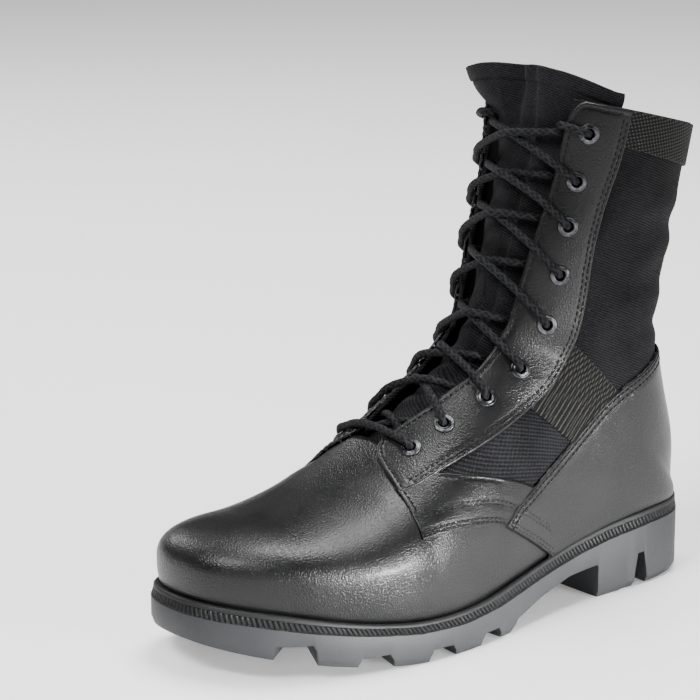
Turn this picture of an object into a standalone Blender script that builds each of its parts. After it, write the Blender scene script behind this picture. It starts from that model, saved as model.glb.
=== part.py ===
"""Jungle boot for the left foot, built as separate closed pieces round one last shape.

Toe towards -Y, lateral side towards +X, the floor at Z = 0, the origin on the heel tread.
The upper, the overlays and the tongue all come from one function of the last, last_point().
"""

import bisect
import math

import bmesh
import bpy
import numpy as np
from mathutils import Vector

SOLE_LENGTH = 0.305
BALL_WIDTH = 0.115
SHAFT_HEIGHT = 0.256
HEEL_CENTRE = 0.034

WALL = 0.0022
OVERLAY_GAP = 0.00035
LEATHER = 0.0017
WEBBING = 0.0013
PIECE_GAP = 0.0004
TONGUE_CLEARANCE = 0.0016
TONGUE_THICKNESS = 0.0028
INSOLE_THICKNESS = 0.003

EYELET_HOLE = 0.0031
EYELET_BORE = 0.0024
EYELET_FLANGE = 0.0044
EYELET_SIDES = 8
LACE_RADIUS = 0.0019
LACE_SIDES = 6
LACE_STOP = 0.0032

SOLE_PROJECTION = 0.0055
RIB_PITCH = 0.0062
RIB_DEPTH = 0.0011
LIP_RISE = 0.0012
HEEL_HEIGHT = 0.0175
LUG_DEPTH = 0.0058
ABOVE = 1.13
CUT_REACH = 0.8 * BALL_WIDTH

# Last, one row per section from the toe, round the ankle and up the shaft.
# ridge y, z as shares of length and height, ridge x as a share of ball width, feather
# line y and x lateral then medial, feather z, widest x lateral and medial, share of the
# drop at the widest place, crown power, foot power, share of the fan used at the toe
LAST = [
    (0.846, 0.258, -0.061, 0.980, -0.104, 0.980, -0.104, 0.135, -0.104, -0.104, 0.60, 2.6, 2.0, 1.0),
    (0.846, 0.258, -0.061, 0.970, 0.052, 0.974, -0.235, 0.131, 0.061, -0.243, 0.60, 2.6, 2.0, 1.0),
    (0.846, 0.258, -0.061, 0.938, 0.183, 0.948, -0.339, 0.121, 0.200, -0.357, 0.60, 2.6, 2.0, 1.0),
    (0.846, 0.258, -0.061, 0.892, 0.287, 0.898, -0.400, 0.107, 0.304, -0.422, 0.60, 2.6, 2.0, 1.0),
    (0.846, 0.258, -0.061, 0.839, 0.365, 0.839, -0.426, 0.092, 0.387, -0.448, 0.60, 2.5, 2.0, 1.0),
    (0.770, 0.273, -0.070, 0.767, 0.426, 0.767, -0.443, 0.078, 0.452, -0.465, 0.60, 2.4, 2.0, 0.6),
    (0.689, 0.309, -0.080, 0.682, 0.461, 0.682, -0.443, 0.070, 0.487, -0.461, 0.62, 2.3, 2.0, 0.2),
    (0.615, 0.359, -0.087, 0.600, 0.461, 0.600, -0.409, 0.072, 0.487, -0.430, 0.62, 2.2, 2.0, 0.0),
    (0.556, 0.412, -0.080, 0.518, 0.426, 0.518, -0.339, 0.080, 0.452, -0.383, 0.62, 2.1, 2.0, 0.0),
    (0.518, 0.453, -0.065, 0.426, 0.365, 0.426, -0.278, 0.098, 0.409, -0.348, 0.60, 2.1, 2.0, 0.0),
    (0.492, 0.482, -0.045, 0.328, 0.313, 0.328, -0.243, 0.117, 0.374, -0.330, 0.57, 2.1, 2.0, 0.0),
    (0.474, 0.507, -0.028, 0.230, 0.296, 0.230, -0.270, 0.137, 0.348, -0.322, 0.55, 2.1, 2.1, 0.0),
    (0.459, 0.532, -0.014, 0.138, 0.287, 0.138, -0.283, 0.148, 0.335, -0.322, 0.52, 2.1, 2.2, 0.0),
    (0.447, 0.557, -0.005, 0.066, 0.235, 0.066, -0.235, 0.151, 0.330, -0.322, 0.50, 2.1, 2.2, 0.0),
    (0.437, 0.583, 0.000, 0.029, 0.127, 0.029, -0.127, 0.152, 0.330, -0.322, 0.50, 2.1, 2.2, 0.0),
    (0.427, 0.609, 0.000, 0.016, 0.000, 0.016, 0.000, 0.152, 0.330, -0.326, 0.50, 2.1, 2.2, 0.0),
    (0.414, 0.661, 0.000, 0.013, 0.000, 0.013, 0.000, 0.235, 0.335, -0.330, 0.48, 2.1, 2.2, 0.0),
    (0.401, 0.715, 0.000, 0.036, 0.000, 0.036, 0.000, 0.327, 0.335, -0.335, 0.47, 2.1, 2.2, 0.0),
    (0.387, 0.768, 0.000, 0.056, 0.000, 0.056, 0.000, 0.422, 0.335, -0.335, 0.46, 2.1, 2.2, 0.0),
    (0.372, 0.821, 0.000, 0.057, 0.000, 0.057, 0.000, 0.517, 0.339, -0.339, 0.46, 2.1, 2.2, 0.0),
    (0.361, 0.867, 0.000, 0.047, 0.000, 0.047, 0.000, 0.612, 0.348, -0.348, 0.46, 2.1, 2.2, 0.0),
    (0.354, 0.914, 0.000, 0.031, 0.000, 0.031, 0.000, 0.711, 0.361, -0.361, 0.46, 2.1, 2.2, 0.0),
    (0.348, 0.957, 0.000, 0.015, 0.000, 0.015, 0.000, 0.806, 0.374, -0.374, 0.46, 2.1, 2.2, 0.0),
    (0.341, 1.000, 0.000, -0.002, 0.000, -0.002, 0.000, 0.901, 0.383, -0.383, 0.46, 2.1, 2.2, 0.0),
]

# Throat edge, distance from the ridge over the surface: section, lateral, medial
THROAT = [
    (0.0, 0.0060, 0.0060),
    (4.0, 0.0060, 0.0120),
    (7.0, 0.0105, 0.0130),
    (8.4, 0.0190, 0.0150),
    (10.2, 0.0220, 0.0175),
    (13.0, 0.0220, 0.0205),
    (16.0, 0.0240, 0.0230),
    (18.4, 0.0270, 0.0250),
    (22.0, 0.0310, 0.0290),
    (23.0, 0.0330, 0.0310),
]
THROAT_BASE = 7.0
SEAM_ROW = 15

# Eyelets: section, distance from the ridge on each side
EYELETS = [
    (7.20, 0.0290, 0.0265),
    (8.20, 0.0320, 0.0285),
    (10.00, 0.0350, 0.0310),
    (12.30, 0.0380, 0.0340),
    (15.50, 0.0425, 0.0365),
    (17.20, 0.0435, 0.0380),
    (18.70, 0.0412, 0.0390),
    (20.20, 0.0402, 0.0400),
    (21.90, 0.0425, 0.0415),
]

# Sole, one row per section of the foot: ribbed band's foot as a share of the height, its inset at the top
SOLE_SIDE = [
    (0.0, 0.1152, 0.0014),
    (1.0, 0.1109, 0.0014),
    (2.0, 0.1008, 0.0015),
    (3.0, 0.0867, 0.0016),
    (4.0, 0.0727, 0.0017),
    (5.0, 0.0613, 0.0018),
    (6.0, 0.0551, 0.0018),
    (7.0, 0.0559, 0.0018),
    (8.0, 0.0633, 0.0018),
    (9.0, 0.0793, 0.0018),
    (10.0, 0.0969, 0.0018),
    (11.0, 0.1141, 0.0014),
    (12.0, 0.1250, 0.0010),
    (15.0, 0.1289, 0.0008),
]

# Outlines of the overlays seen from the side: share of sole length from the heel, share of height
STAY_FRONT = [(0.624, 0.4219), (0.627, 0.3516), (0.640, 0.3379), (0.653, 0.3125), (0.667, 0.2969)]
STAY_REAR = [
    (0.667, 0.2969),
    (0.660, 0.2969),
    (0.592, 0.3273),
    (0.498, 0.3652),
    (0.400, 0.4082),
    (0.345, 0.4492),
    (0.308, 0.5117),
    (0.290, 0.5938),
    (0.280, 0.6875),
    (0.258, 0.7891),
    (0.235, 0.8672),
    (0.215, 0.9844),
    (0.213, 1.0742),
]
BAND_FOOT = [
    (0.673, 0.2281),
    (0.607, 0.2344),
    (0.544, 0.2273),
    (0.500, 0.2148),
    (0.459, 0.1855),
    (0.410, 0.1484),
    (0.360, 0.1055),
]
BAND_TOP = [
    (0.340, 0.3203),
    (0.418, 0.2695),
    (0.470, 0.2969),
    (0.523, 0.3145),
    (0.575, 0.3211),
    (0.598, 0.3516),
    (0.668, 0.3125),
]
COUNTER_TOP = [
    (-0.060, 0.4707),
    (0.090, 0.4688),
    (0.160, 0.4414),
    (0.232, 0.4082),
    (0.322, 0.3312),
    (0.410, 0.2742),
    (0.462, 0.2441),
]
WEBBING_BOX = [(0.302, 0.5195), (0.393, 0.4043), (0.330, 0.3184), (0.208, 0.3945)]
COLLAR_FOOT = [(0.240, 0.8984), (0.140, 0.8613), (0.060, 0.8320), (-0.080, 0.7852)]

# Tongue: section, reach past the medial edge, outward shift at that edge, lateral reach, rise
TONGUE = [
    (6.2, 0.006, -0.0045, 0.010, 0.000),
    (7.0, 0.006, -0.0045, 0.010, 0.000),
    (8.0, 0.007, -0.0045, 0.010, 0.000),
    (9.0, 0.008, -0.0045, 0.010, 0.000),
    (10.0, 0.008, -0.0045, 0.010, 0.000),
    (11.5, 0.008, -0.0045, 0.010, 0.000),
    (13.0, 0.008, -0.0045, 0.010, 0.000),
    (14.5, 0.008, -0.0045, 0.010, 0.000),
    (16.0, 0.008, -0.0045, 0.010, 0.000),
    (17.5, 0.008, -0.0045, 0.011, 0.000),
    (18.6, 0.008, -0.0045, 0.013, 0.000),
    (19.5, 0.008, -0.0045, 0.016, 0.000),
    (20.5, 0.006, -0.0045, 0.019, 0.000),
    (21.3, 0.001, -0.0045, 0.022, 0.000),
    (21.9, -0.004, -0.0045, 0.024, 0.000),
    (22.3, -0.003, 0.0020, 0.025, 0.000),
    (22.7, 0.001, 0.0070, 0.026, 0.000),
    (23.0, 0.005, 0.0105, 0.027, 0.002),
    (23.0, 0.006, 0.0120, 0.028, 0.008),
    (23.0, 0.006, 0.0130, 0.028, 0.013),
]

GRID_ROWS = [0, 0.5, 1, 1.5, 2, 2.5, 3, 3.5, 4, 4.5, 5, 5.5, 6, 6.5, 7, 7.5, 8, 8.5, 9, 9.5,
             10, 10.75, 11.5, 12.25, 13, 13.5, 14, 14.5, 15, 16, 17, 18, 19, 20, 21, 22, 23]
THROAT_COLUMNS = 2
SIDE_COLUMNS = [0.0, 0.12, 0.24, 0.37, 0.50, 0.64, 0.78, 0.91, 0.98, 1.0]

NUMBERS = np.array(LAST)
SCALES = np.array([SOLE_LENGTH, SHAFT_HEIGHT, BALL_WIDTH, SOLE_LENGTH, BALL_WIDTH, SOLE_LENGTH,
                   BALL_WIDTH, SHAFT_HEIGHT, BALL_WIDTH, BALL_WIDTH, 1, 1, 1, 1])


def clear_scene():
    for obj in list(bpy.data.objects):
        bpy.data.objects.remove(obj, do_unlink=True)
    for group in list(bpy.data.collections):
        bpy.data.collections.remove(group)


def collection(name):
    group = bpy.data.collections.new(name)
    bpy.context.scene.collection.children.link(group)
    return group


def material(name, colour, roughness, metallic=0.0):
    shade = bpy.data.materials.new(name)
    shade.use_nodes = True
    shader = shade.node_tree.nodes["Principled BSDF"]
    shader.inputs["Base Color"].default_value = (*colour, 1.0)
    shader.inputs["Roughness"].default_value = roughness
    shader.inputs["Metallic"].default_value = metallic
    return shade


def new_object(name, vertices, faces, group, shade=None):
    mesh = bpy.data.meshes.new(name)
    mesh.from_pydata([tuple(map(float, v)) for v in vertices], [], faces)
    mesh.validate()
    mesh.update()
    obj = bpy.data.objects.new(name, mesh)
    group.objects.link(obj)
    if shade:
        mesh.materials.append(shade)
    return obj


def face_outwards(obj):
    edit = bmesh.new()
    edit.from_mesh(obj.data)
    bmesh.ops.remove_doubles(edit, verts=edit.verts, dist=1e-6)
    bmesh.ops.recalc_face_normals(edit, faces=edit.faces)
    edit.to_mesh(obj.data)
    edit.free()
    return obj


def as_cutter(obj):
    obj.hide_render = True
    obj.display_type = "WIRE"
    return obj


def boolean(obj, cutter, operation):
    modifier = obj.modifiers.new(operation.title(), "BOOLEAN")
    modifier.operation = operation
    modifier.solver = "EXACT"
    modifier.object = cutter
    return modifier


def table_value(table, key, column):
    keys = [row[0] for row in table]
    if key <= keys[0]:
        return table[0][column]
    if key >= keys[-1]:
        return table[-1][column]
    i = bisect.bisect_right(keys, key) - 1
    share = (key - keys[i]) / (keys[i + 1] - keys[i])
    return table[i][column] * (1 - share) + table[i + 1][column] * share


def last_row(r):
    """Smooth values of the last's table at the section r."""
    i = min(int(r), len(NUMBERS) - 2)
    f = r - i
    def slope(k):
        low, high = max(k - 1, 0), min(k + 1, len(NUMBERS) - 1)
        both = (NUMBERS[high] - NUMBERS[low]) / (high - low)
        if k == SEAM_ROW:
            near = min(max(i, k - 1), k)
            both[3:8] = (NUMBERS[near + 1] - NUMBERS[near])[3:8]
        return both
    a, b = NUMBERS[i], NUMBERS[i + 1]
    value = (2 * f**3 - 3 * f**2 + 1) * a + (3 * f**2 - 2 * f**3) * b
    value = value + (f**3 - 2 * f**2 + f) * slope(i) + (f**3 - f**2) * slope(i + 1)
    if r < 4:
        value[:3] = NUMBERS[0][:3]
    return value * SCALES


def section(r, side, steps=40):
    """Points of one half section from the ridge to the feather line, with their distances."""
    ridge_y, ridge_z, ridge_x, ly, lx, my, mx, foot_z, wide_l, wide_m, drop, crown, foot, fan = last_row(r)
    foot_y, foot_x, wide = (ly, lx, wide_l) if side > 0 else (my, mx, wide_m)
    reach = max(math.hypot(foot_y - ridge_y, foot_x - ridge_x), 1e-6)
    over = 0.0025 / reach * min(max(5 - r, 0), 1)
    if r < 4:
        wide = foot_x + over * (foot_x - ridge_x)
    upper = np.linspace(0, math.pi / 2, steps)
    lower = upper[1:]
    power_c = 2 / crown
    power_f = 2 / foot
    down = np.concatenate([drop * (1 - np.cos(upper) ** power_c),
                           drop + (1 - drop) * np.sin(lower) ** power_f])
    across = np.concatenate([ridge_x + (wide - ridge_x) * np.sin(upper) ** power_c,
                             foot_x + (wide - foot_x) * np.clip(np.cos(lower), 0, 1) ** power_f])
    along = np.concatenate([(1 + over) * np.sin(upper) ** power_c,
                            1 + over * np.clip(np.cos(lower), 0, 1) ** power_f])
    y = ridge_y + (foot_y - ridge_y) * (fan * along + (1 - fan) * down)
    z = ridge_z + (foot_z - ridge_z) * down
    points = np.stack([across, HEEL_CENTRE - y, z], axis=1)
    steps_long = np.linalg.norm(np.diff(points, axis=0), axis=1)
    return points, np.concatenate([[0], np.cumsum(steps_long)])


def last_point(r, distance, side):
    """Point on the outside of the upper at a distance from the ridge along the section r."""
    points, lengths = section(r, side)
    return np.array([np.interp(distance, lengths, points[:, i]) for i in range(3)])


def last_normal(r, distance, side):
    low, high = max(r - 0.05, 0), min(r + 0.05, len(LAST) - 1)
    along = last_point(high, distance, side) - last_point(low, distance, side)
    down = last_point(r, distance + 0.0005, side) - last_point(r, max(distance - 0.0005, 0), side)
    normal = np.cross(down, along) * side
    return normal / np.linalg.norm(normal)


def throat_edge(r, side):
    return table_value(THROAT, r, 1 if side > 0 else 2)


def grid_distances(r, side):
    """Distances from the ridge of the grid's columns in the section r."""
    total = section(r, side)[1][-1]
    edge = throat_edge(r, side)
    if r < 4:
        edge = edge * min(1, total * 0.1 / edge)
    inner = [edge * k / THROAT_COLUMNS for k in range(THROAT_COLUMNS)]
    return inner + [edge + (total - edge) * share for share in SIDE_COLUMNS]


def last_grid(rows=None):
    """Vertices, faces and normals of the upper's outside, with the throat left open."""
    rows = rows or GRID_ROWS
    columns = THROAT_COLUMNS + len(SIDE_COLUMNS)
    found, vertices, index = {}, [], {}
    for i, r in enumerate(rows):
        for side in (-1, 1):
            for j, distance in enumerate(grid_distances(r, side)):
                point = last_point(r, distance, side)
                key = tuple(int(round(c * 1e6)) for c in point)
                if key not in found:
                    found[key] = len(vertices)
                    vertices.append(point)
                index[i, side * j] = found[key]
    faces = []
    for i in range(len(rows) - 1):
        for j in range(-columns + 1, columns - 1):
            inner = min(abs(j), abs(j + 1))
            if rows[i] >= THROAT_BASE and inner < THROAT_COLUMNS:
                continue
            corner = [index[i, j], index[i + 1, j], index[i + 1, j + 1], index[i, j + 1]]
            corner = [c for k, c in enumerate(corner) if c not in corner[:k]]
            if len(corner) == 4:
                faces += [corner[:3], [corner[0], corner[2], corner[3]]]
            elif len(corner) == 3:
                faces.append(corner)
    used = sorted({v for face in faces for v in face})
    remap = {v: k for k, v in enumerate(used)}
    vertices = [vertices[v] for v in used]
    faces = [[remap[v] for v in face] for face in faces]
    return vertices, faces


def outward_sheet(name, group, shade=None):
    """The open outside of the upper as an object whose faces point out."""
    vertices, faces = last_grid()
    obj = new_object(name, vertices, faces, group, shade)
    edit = bmesh.new()
    edit.from_mesh(obj.data)
    bmesh.ops.recalc_face_normals(edit, faces=edit.faces)
    edit.normal_update()
    middle = Vector((0.0, HEEL_CENTRE - 0.12, 0.05))
    facing = sum(f.calc_area() * f.normal.dot(f.calc_center_median() - middle) for f in edit.faces)
    if facing < 0:
        bmesh.ops.reverse_faces(edit, faces=edit.faces)
    edit.to_mesh(obj.data)
    edit.free()
    return obj


def thicken(obj, start, thickness):
    """Moves an open sheet out by start and gives it a wall outwards, or inwards if negative."""
    edit = bmesh.new()
    edit.from_mesh(obj.data)
    edit.normal_update()
    moved = [(v, v.normal.copy()) for v in edit.verts]
    for v, normal in moved:
        v.co += normal * start
    edit.to_mesh(obj.data)
    edit.free()
    solid = obj.modifiers.new("Wall", "SOLIDIFY")
    solid.thickness = abs(thickness)
    solid.offset = 1.0 if thickness > 0 else -1.0
    solid.use_even_offset = False
    solid.use_rim = True
    return obj


def at_side(share, rise):
    return (HEEL_CENTRE - share * SOLE_LENGTH, rise * SHAFT_HEIGHT)


def side_outline(points, smooth=2):
    """World y, z of a side outline given as shares, rounded between its points."""
    line = [at_side(share, rise) for share, rise in points]
    for _ in range(smooth):
        finer = [line[0]]
        for (ya, za), (yb, zb) in zip(line, line[1:]):
            finer.append((ya * 0.75 + yb * 0.25, za * 0.75 + zb * 0.25))
            finer.append((ya * 0.25 + yb * 0.75, za * 0.25 + zb * 0.75))
        finer.append(line[-1])
        line = finer
    return line


def prism(name, outline, low, high, group):
    """A cutter: the outline in y, z run across from x = low to x = high."""
    count = len(outline)
    vertices = [(low, y, z) for y, z in outline] + [(high, y, z) for y, z in outline]
    faces = [list(range(count)), list(range(2 * count - 1, count - 1, -1))]
    faces += [[k, (k + 1) % count, count + (k + 1) % count, count + k] for k in range(count)]
    return as_cutter(face_outwards(new_object(name, vertices, faces, group)))


def shifted(points, along, up):
    return [(share + along / SOLE_LENGTH, rise + up / SHAFT_HEIGHT) for share, rise in points]


def eyelet_frames():
    """Place and outward normal of each eyelet, lateral then medial."""
    frames = []
    for r, lateral, medial in EYELETS:
        for side, distance in ((1, lateral), (-1, medial)):
            frames.append((Vector(last_point(r, distance, side)), Vector(last_normal(r, distance, side))))
    return frames


def turned(profile, place, axis, sides):
    """Vertices and faces of a closed profile turned round an axis."""
    axis = axis.normalized()
    first = axis.orthogonal().normalized()
    second = axis.cross(first)
    vertices, faces = [], []
    count = len(profile)
    for k in range(sides):
        angle = 2 * math.pi * k / sides
        arm = first * math.cos(angle) + second * math.sin(angle)
        for radius, height in profile:
            vertices.append(place + arm * radius + axis * height)
    for k in range(sides):
        for j in range(count):
            a, b = k * count, (k + 1) % sides * count
            faces.append([a + j, b + j, b + (j + 1) % count, a + (j + 1) % count])
    return vertices, faces


def eyelet_cutters(group):
    vertices, faces = [], []
    for place, axis in eyelet_frames():
        sides = EYELET_SIDES
        first = axis.orthogonal().normalized()
        second = axis.cross(first)
        base = len(vertices)
        for height in (-0.009, 0.006):
            for k in range(sides):
                angle = 2 * math.pi * (k + 0.31) / sides
                arm = first * math.cos(angle) + second * math.sin(angle)
                vertices.append(place + arm * EYELET_HOLE + axis * height)
        faces.append([base + k for k in range(sides)])
        faces.append([base + sides + k for k in range(sides)])
        for k in range(sides):
            n = (k + 1) % sides
            faces.append([base + k, base + n, base + sides + n, base + sides + k])
    return as_cutter(face_outwards(new_object("eyelet_cutters", vertices, faces, group)))


def lip_cutter(group):
    """Everything lower than just above the lip of the ribbed band, seen from the side."""
    line = [last_point(r, 1.0, 1) for r in GRID_ROWS if 4 <= r <= 15]
    outline = [(p[1], p[2] + LIP_RISE + 0.0005) for p in line]
    behind = HEEL_CENTRE + CUT_REACH / 2
    outline += [(behind, outline[-1][1]), (behind, -0.02), (outline[0][0], -0.02)]
    return prism("cut_lip", outline, -CUT_REACH, CUT_REACH, group)


def build_upper(group, holes, shade):
    upper = outward_sheet("upper", group, shade)
    thicken(upper, 0.0, -WALL)
    boolean(upper, holes, "DIFFERENCE")
    return upper


def overlay(name, group, thickness, cutters, holes, shade):
    """A piece cut from the shell that lies just outside the upper."""
    piece = outward_sheet(name, group, shade)
    thicken(piece, OVERLAY_GAP, thickness)
    for cutter, operation in cutters:
        boolean(piece, cutter, operation)
    if holes:
        boolean(piece, holes, "DIFFERENCE")
    return piece


def build_overlays(group, helpers, holes, leather, webbing):
    gap = PIECE_GAP / SOLE_LENGTH
    stay = side_outline(STAY_FRONT, 1) + side_outline(STAY_REAR, 2)[1:]
    stay = [at_side(*STAY_FRONT[0])] + stay[1:] + [at_side(0.700, ABOVE)]
    wide = side_outline(shifted(STAY_REAR, -PIECE_GAP, -PIECE_GAP), 2)
    wide += [at_side(0.75, ABOVE), at_side(0.75, STAY_REAR[0][1] - PIECE_GAP / SHAFT_HEIGHT)]
    counter = side_outline(COUNTER_TOP, 2)
    foot = side_outline(shifted(BAND_FOOT[3:], 0.0, 0.0), 1)
    counter += foot + [at_side(0.36, 0.0), at_side(-0.06, 0.0)]
    counter_wide = side_outline(shifted(COUNTER_TOP, PIECE_GAP, PIECE_GAP), 2)
    counter_wide += [at_side(0.500 + gap, 0.2168), at_side(0.500 + gap, 0.0), at_side(-0.06, 0.0)]
    band = side_outline(BAND_FOOT, 2)
    band += [at_side(*corner) for corner in BAND_TOP]
    box = [at_side(*corner) for corner in WEBBING_BOX]
    collar = side_outline(COLLAR_FOOT, 1) + [at_side(-0.08, ABOVE), at_side(0.30, ABOVE)]
    pieces = []
    lip = lip_cutter(helpers)
    for side, low, high in (("lateral", 0.0012, CUT_REACH), ("medial", -CUT_REACH, -0.0012)):
        one = prism("cut_stay_" + side, stay, low, high, helpers)
        beyond = prism("cut_past_stay_" + side, wide, low - 0.05, high + 0.05, helpers)
        heel = prism("cut_past_counter_" + side, counter_wide, low - 0.05, high + 0.05, helpers)
        pieces.append(overlay("eyestay_" + side, group, LEATHER, [(one, "INTERSECT")], holes, leather))
        strip = prism("cut_band_" + side, band, low, high, helpers)
        pieces.append(overlay("quarter_band_" + side, group, LEATHER,
                              [(strip, "INTERSECT"), (beyond, "DIFFERENCE"), (heel, "DIFFERENCE"),
                               (lip, "DIFFERENCE")], None, leather))
        patch = prism("cut_webbing_" + side, box, low, high, helpers)
        pieces.append(overlay("ankle_webbing_" + side, group, WEBBING,
                              [(patch, "INTERSECT"), (beyond, "DIFFERENCE"), (heel, "DIFFERENCE")],
                              None, webbing))
    whole = prism("cut_counter", counter, -CUT_REACH, CUT_REACH, helpers)
    pieces.append(overlay("heel_counter", group, LEATHER, [(whole, "INTERSECT"), (lip, "DIFFERENCE")],
                          None, leather))
    top = prism("cut_collar", collar, -CUT_REACH, CUT_REACH, helpers)
    past = prism("cut_past_stays", wide, -CUT_REACH, CUT_REACH, helpers)
    pieces.append(overlay("collar_webbing", group, WEBBING,
                          [(top, "INTERSECT"), (past, "DIFFERENCE")], None, webbing))
    return pieces


def loft(name, rings, closed, group, shade):
    """Joins rings of equal length: round the ring if closed, with flat ends."""
    count = len(rings[0])
    vertices = [point for ring in rings for point in ring]
    faces = []
    spans = len(rings) if closed else len(rings) - 1
    for i in range(spans):
        a, b = i * count, (i + 1) % len(rings) * count
        for j in range(count):
            faces.append([a + j, a + (j + 1) % count, b + (j + 1) % count, b + j])
    if not closed:
        faces.append(list(range(count)))
        faces.append([(len(rings) - 1) * count + j for j in range(count)])
    return face_outwards(new_object(name, vertices, faces, group, shade))


def tongue_ring(r, past, lift, lateral, rise, thickness, columns=11):
    """One closed section of the tongue, its outside from medial to lateral and back inside."""
    outside, inside = [], []
    medial_end = throat_edge(r, -1) + past
    lateral_end = throat_edge(r, 1) + lateral
    under = -(WALL + TONGUE_CLEARANCE)
    for k in range(columns):
        share = k / (columns - 1)
        distance = -medial_end + (medial_end + lateral_end) * share
        side = 1 if distance >= 0 else -1
        point = last_point(r, abs(distance), side)
        normal = last_normal(r, max(abs(distance), 0.001), side)
        blend = min(max(1 - share / 0.42, 0), 1)
        blend = blend * blend * (3 - 2 * blend)
        out = under + (lift - under) * blend if lift > -0.004 else under
        top = np.array([0.0, 0.0, 1.0]) * rise * (0.55 + 0.45 * math.sin(math.pi * min(share * 1.05, 1)))
        outside.append(point + normal * out + top)
        inside.append(point + normal * (out - thickness) + top)
    return outside + inside[::-1]


def build_tongue(group, shade):
    rings = [tongue_ring(r, past, lift, lateral, rise, TONGUE_THICKNESS)
             for r, past, lift, lateral, rise in TONGUE]
    return loft("tongue", rings, False, group, shade)


def feather_line():
    """Closed line of the foot of the upper with each point's section, lateral side first."""
    rows = [r for r in GRID_ROWS if r <= 15]
    line = [(r, last_point(r, 1.0, 1)) for r in rows]
    line += [(r, last_point(r, 1.0, -1)) for r in rows[-2:0:-1]]
    return line


def outward_directions(points):
    """Level normals of a closed line, pointing away from its middle."""
    count = len(points)
    found = []
    for k in range(count):
        step = points[(k + 1) % count] - points[k - 1]
        normal = np.array([-step[1], step[0], 0.0])
        normal /= np.linalg.norm(normal)
        found.append(normal)
    middle = sum(points) / count
    turn = sum(np.dot(n, p - middle) for n, p in zip(found, points))
    return [n if turn > 0 else -n for n in found]


def tread_height(y_from_heel):
    """Height of the tread's plane, flat at the heel and the ball and raised at the toe."""
    past = max(y_from_heel - 0.232, 0.0)
    return 0.0155 * (past / 0.072) ** 1.7


def build_outsole(group, helpers, shade):
    line = feather_line()
    points = [p for _, p in line]
    normals = outward_directions(points)
    rings = []
    for (r, p), n in zip(line, normals):
        band = table_value(SOLE_SIDE, r, 1) * SHAFT_HEIGHT
        from_heel = HEEL_CENTRE - p[1]
        outer = p + n * SOLE_PROJECTION
        low = outer - n * (0.0012 if 60 < 1000 * from_heel else 0.0022)
        base = tread_height(HEEL_CENTRE - outer[1])
        platform = p + n * 0.0018
        rings.append([
            (low[0], low[1], base),
            (outer[0], outer[1], base + 0.003),
            (outer[0], outer[1], band - OVERLAY_GAP),
            (platform[0], platform[1], band - OVERLAY_GAP),
            (platform[0], platform[1], p[2] - 0.0005),
        ])
    count = len(rings)
    vertices = [v for ring in rings for v in ring]
    faces = []
    for i in range(count):
        a, b = i * 5, (i + 1) % count * 5
        for j in range(4):
            faces.append([a + j, a + j + 1, b + j + 1, b + j])
    half = count // 2
    for level in (0, 4):
        for i in range(half):
            corner = [i, i + 1, (count - i - 1) % count, (count - i) % count]
            corner = [c for k, c in enumerate(corner) if c not in corner[:k]]
            faces.append([c * 5 + level for c in corner])
    sole = face_outwards(new_object("outsole", vertices, faces, group, shade))
    boolean(sole, tread_cutters(helpers), "DIFFERENCE")
    return sole


# Grooves of the tread: from the heel at the side edge, from and to; at the centre, from and to
LATERAL_GROOVES = [
    (0.1545, 0.1745, 0.1600, 0.1680),
    (0.1895, 0.2050, 0.1830, 0.1920),
    (0.2185, 0.2345, 0.2060, 0.2160),
    (0.2450, 0.2620, 0.2300, 0.2400),
]
MEDIAL_GROOVES = [
    (0.1560, 0.1720, 0.1600, 0.1680),
    (0.1880, 0.2040, 0.1830, 0.1920),
    (0.2180, 0.2340, 0.2060, 0.2160),
    (0.2500, 0.2660, 0.2300, 0.2400),
]
HEEL_GROOVES = [(0.0440, 0.0570, 0.0400, 0.0480)]


def groove(vertices, faces, side, edge_from, edge_to, centre_from, centre_to, inner, depth):
    """A groove from the centre line to past the side, a little narrower at its top."""
    base = len(vertices)
    rise = tread_height(edge_from)
    for height, inset in ((-0.004, 0.0), (rise + depth, 0.0022)):
        for x, y in ((inner, centre_from + inset), (inner, centre_to - inset),
                     (0.085, edge_to - inset), (0.085, edge_from + inset)):
            vertices.append((side * x, HEEL_CENTRE - y, height))
    faces += [[base, base + 1, base + 2, base + 3], [base + 4, base + 5, base + 6, base + 7]]
    faces += [[base + k, base + (k + 1) % 4, base + 4 + (k + 1) % 4, base + 4 + k] for k in range(4)]


def tread_cutters(helpers):
    vertices, faces = [], []
    for grooves, side in ((LATERAL_GROOVES, 1), (MEDIAL_GROOVES, -1)):
        for edge_from, edge_to, centre_from, centre_to in grooves:
            slope_from = centre_from + (edge_from - centre_from) * 0.085 / 0.056
            slope_to = centre_to + (edge_to - centre_to) * 0.085 / 0.056
            groove(vertices, faces, side, slope_from, slope_to, centre_from, centre_to, 0.004, LUG_DEPTH)
        for edge_from, edge_to, centre_from, centre_to in HEEL_GROOVES:
            groove(vertices, faces, side, edge_from + 0.002, edge_to + 0.003, centre_from, centre_to,
                   0.009, HEEL_HEIGHT)
    base = len(vertices)
    arch = [(0.0785, -0.004), (0.0785, HEEL_HEIGHT), (0.100, HEEL_HEIGHT - 0.0012),
            (0.122, HEEL_HEIGHT - 0.0058), (0.142, 0.0058), (0.1475, 0.0), (0.1500, -0.004)]
    for x in (-0.085, 0.085):
        vertices += [(x, HEEL_CENTRE - y, z) for y, z in arch]
    size = len(arch)
    faces += [[base + k for k in range(size)], [base + size + k for k in range(size)]]
    faces += [[base + k, base + (k + 1) % size, base + size + (k + 1) % size, base + size + k]
              for k in range(size)]
    return as_cutter(face_outwards(new_object("tread_cutters", vertices, faces, helpers)))


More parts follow.
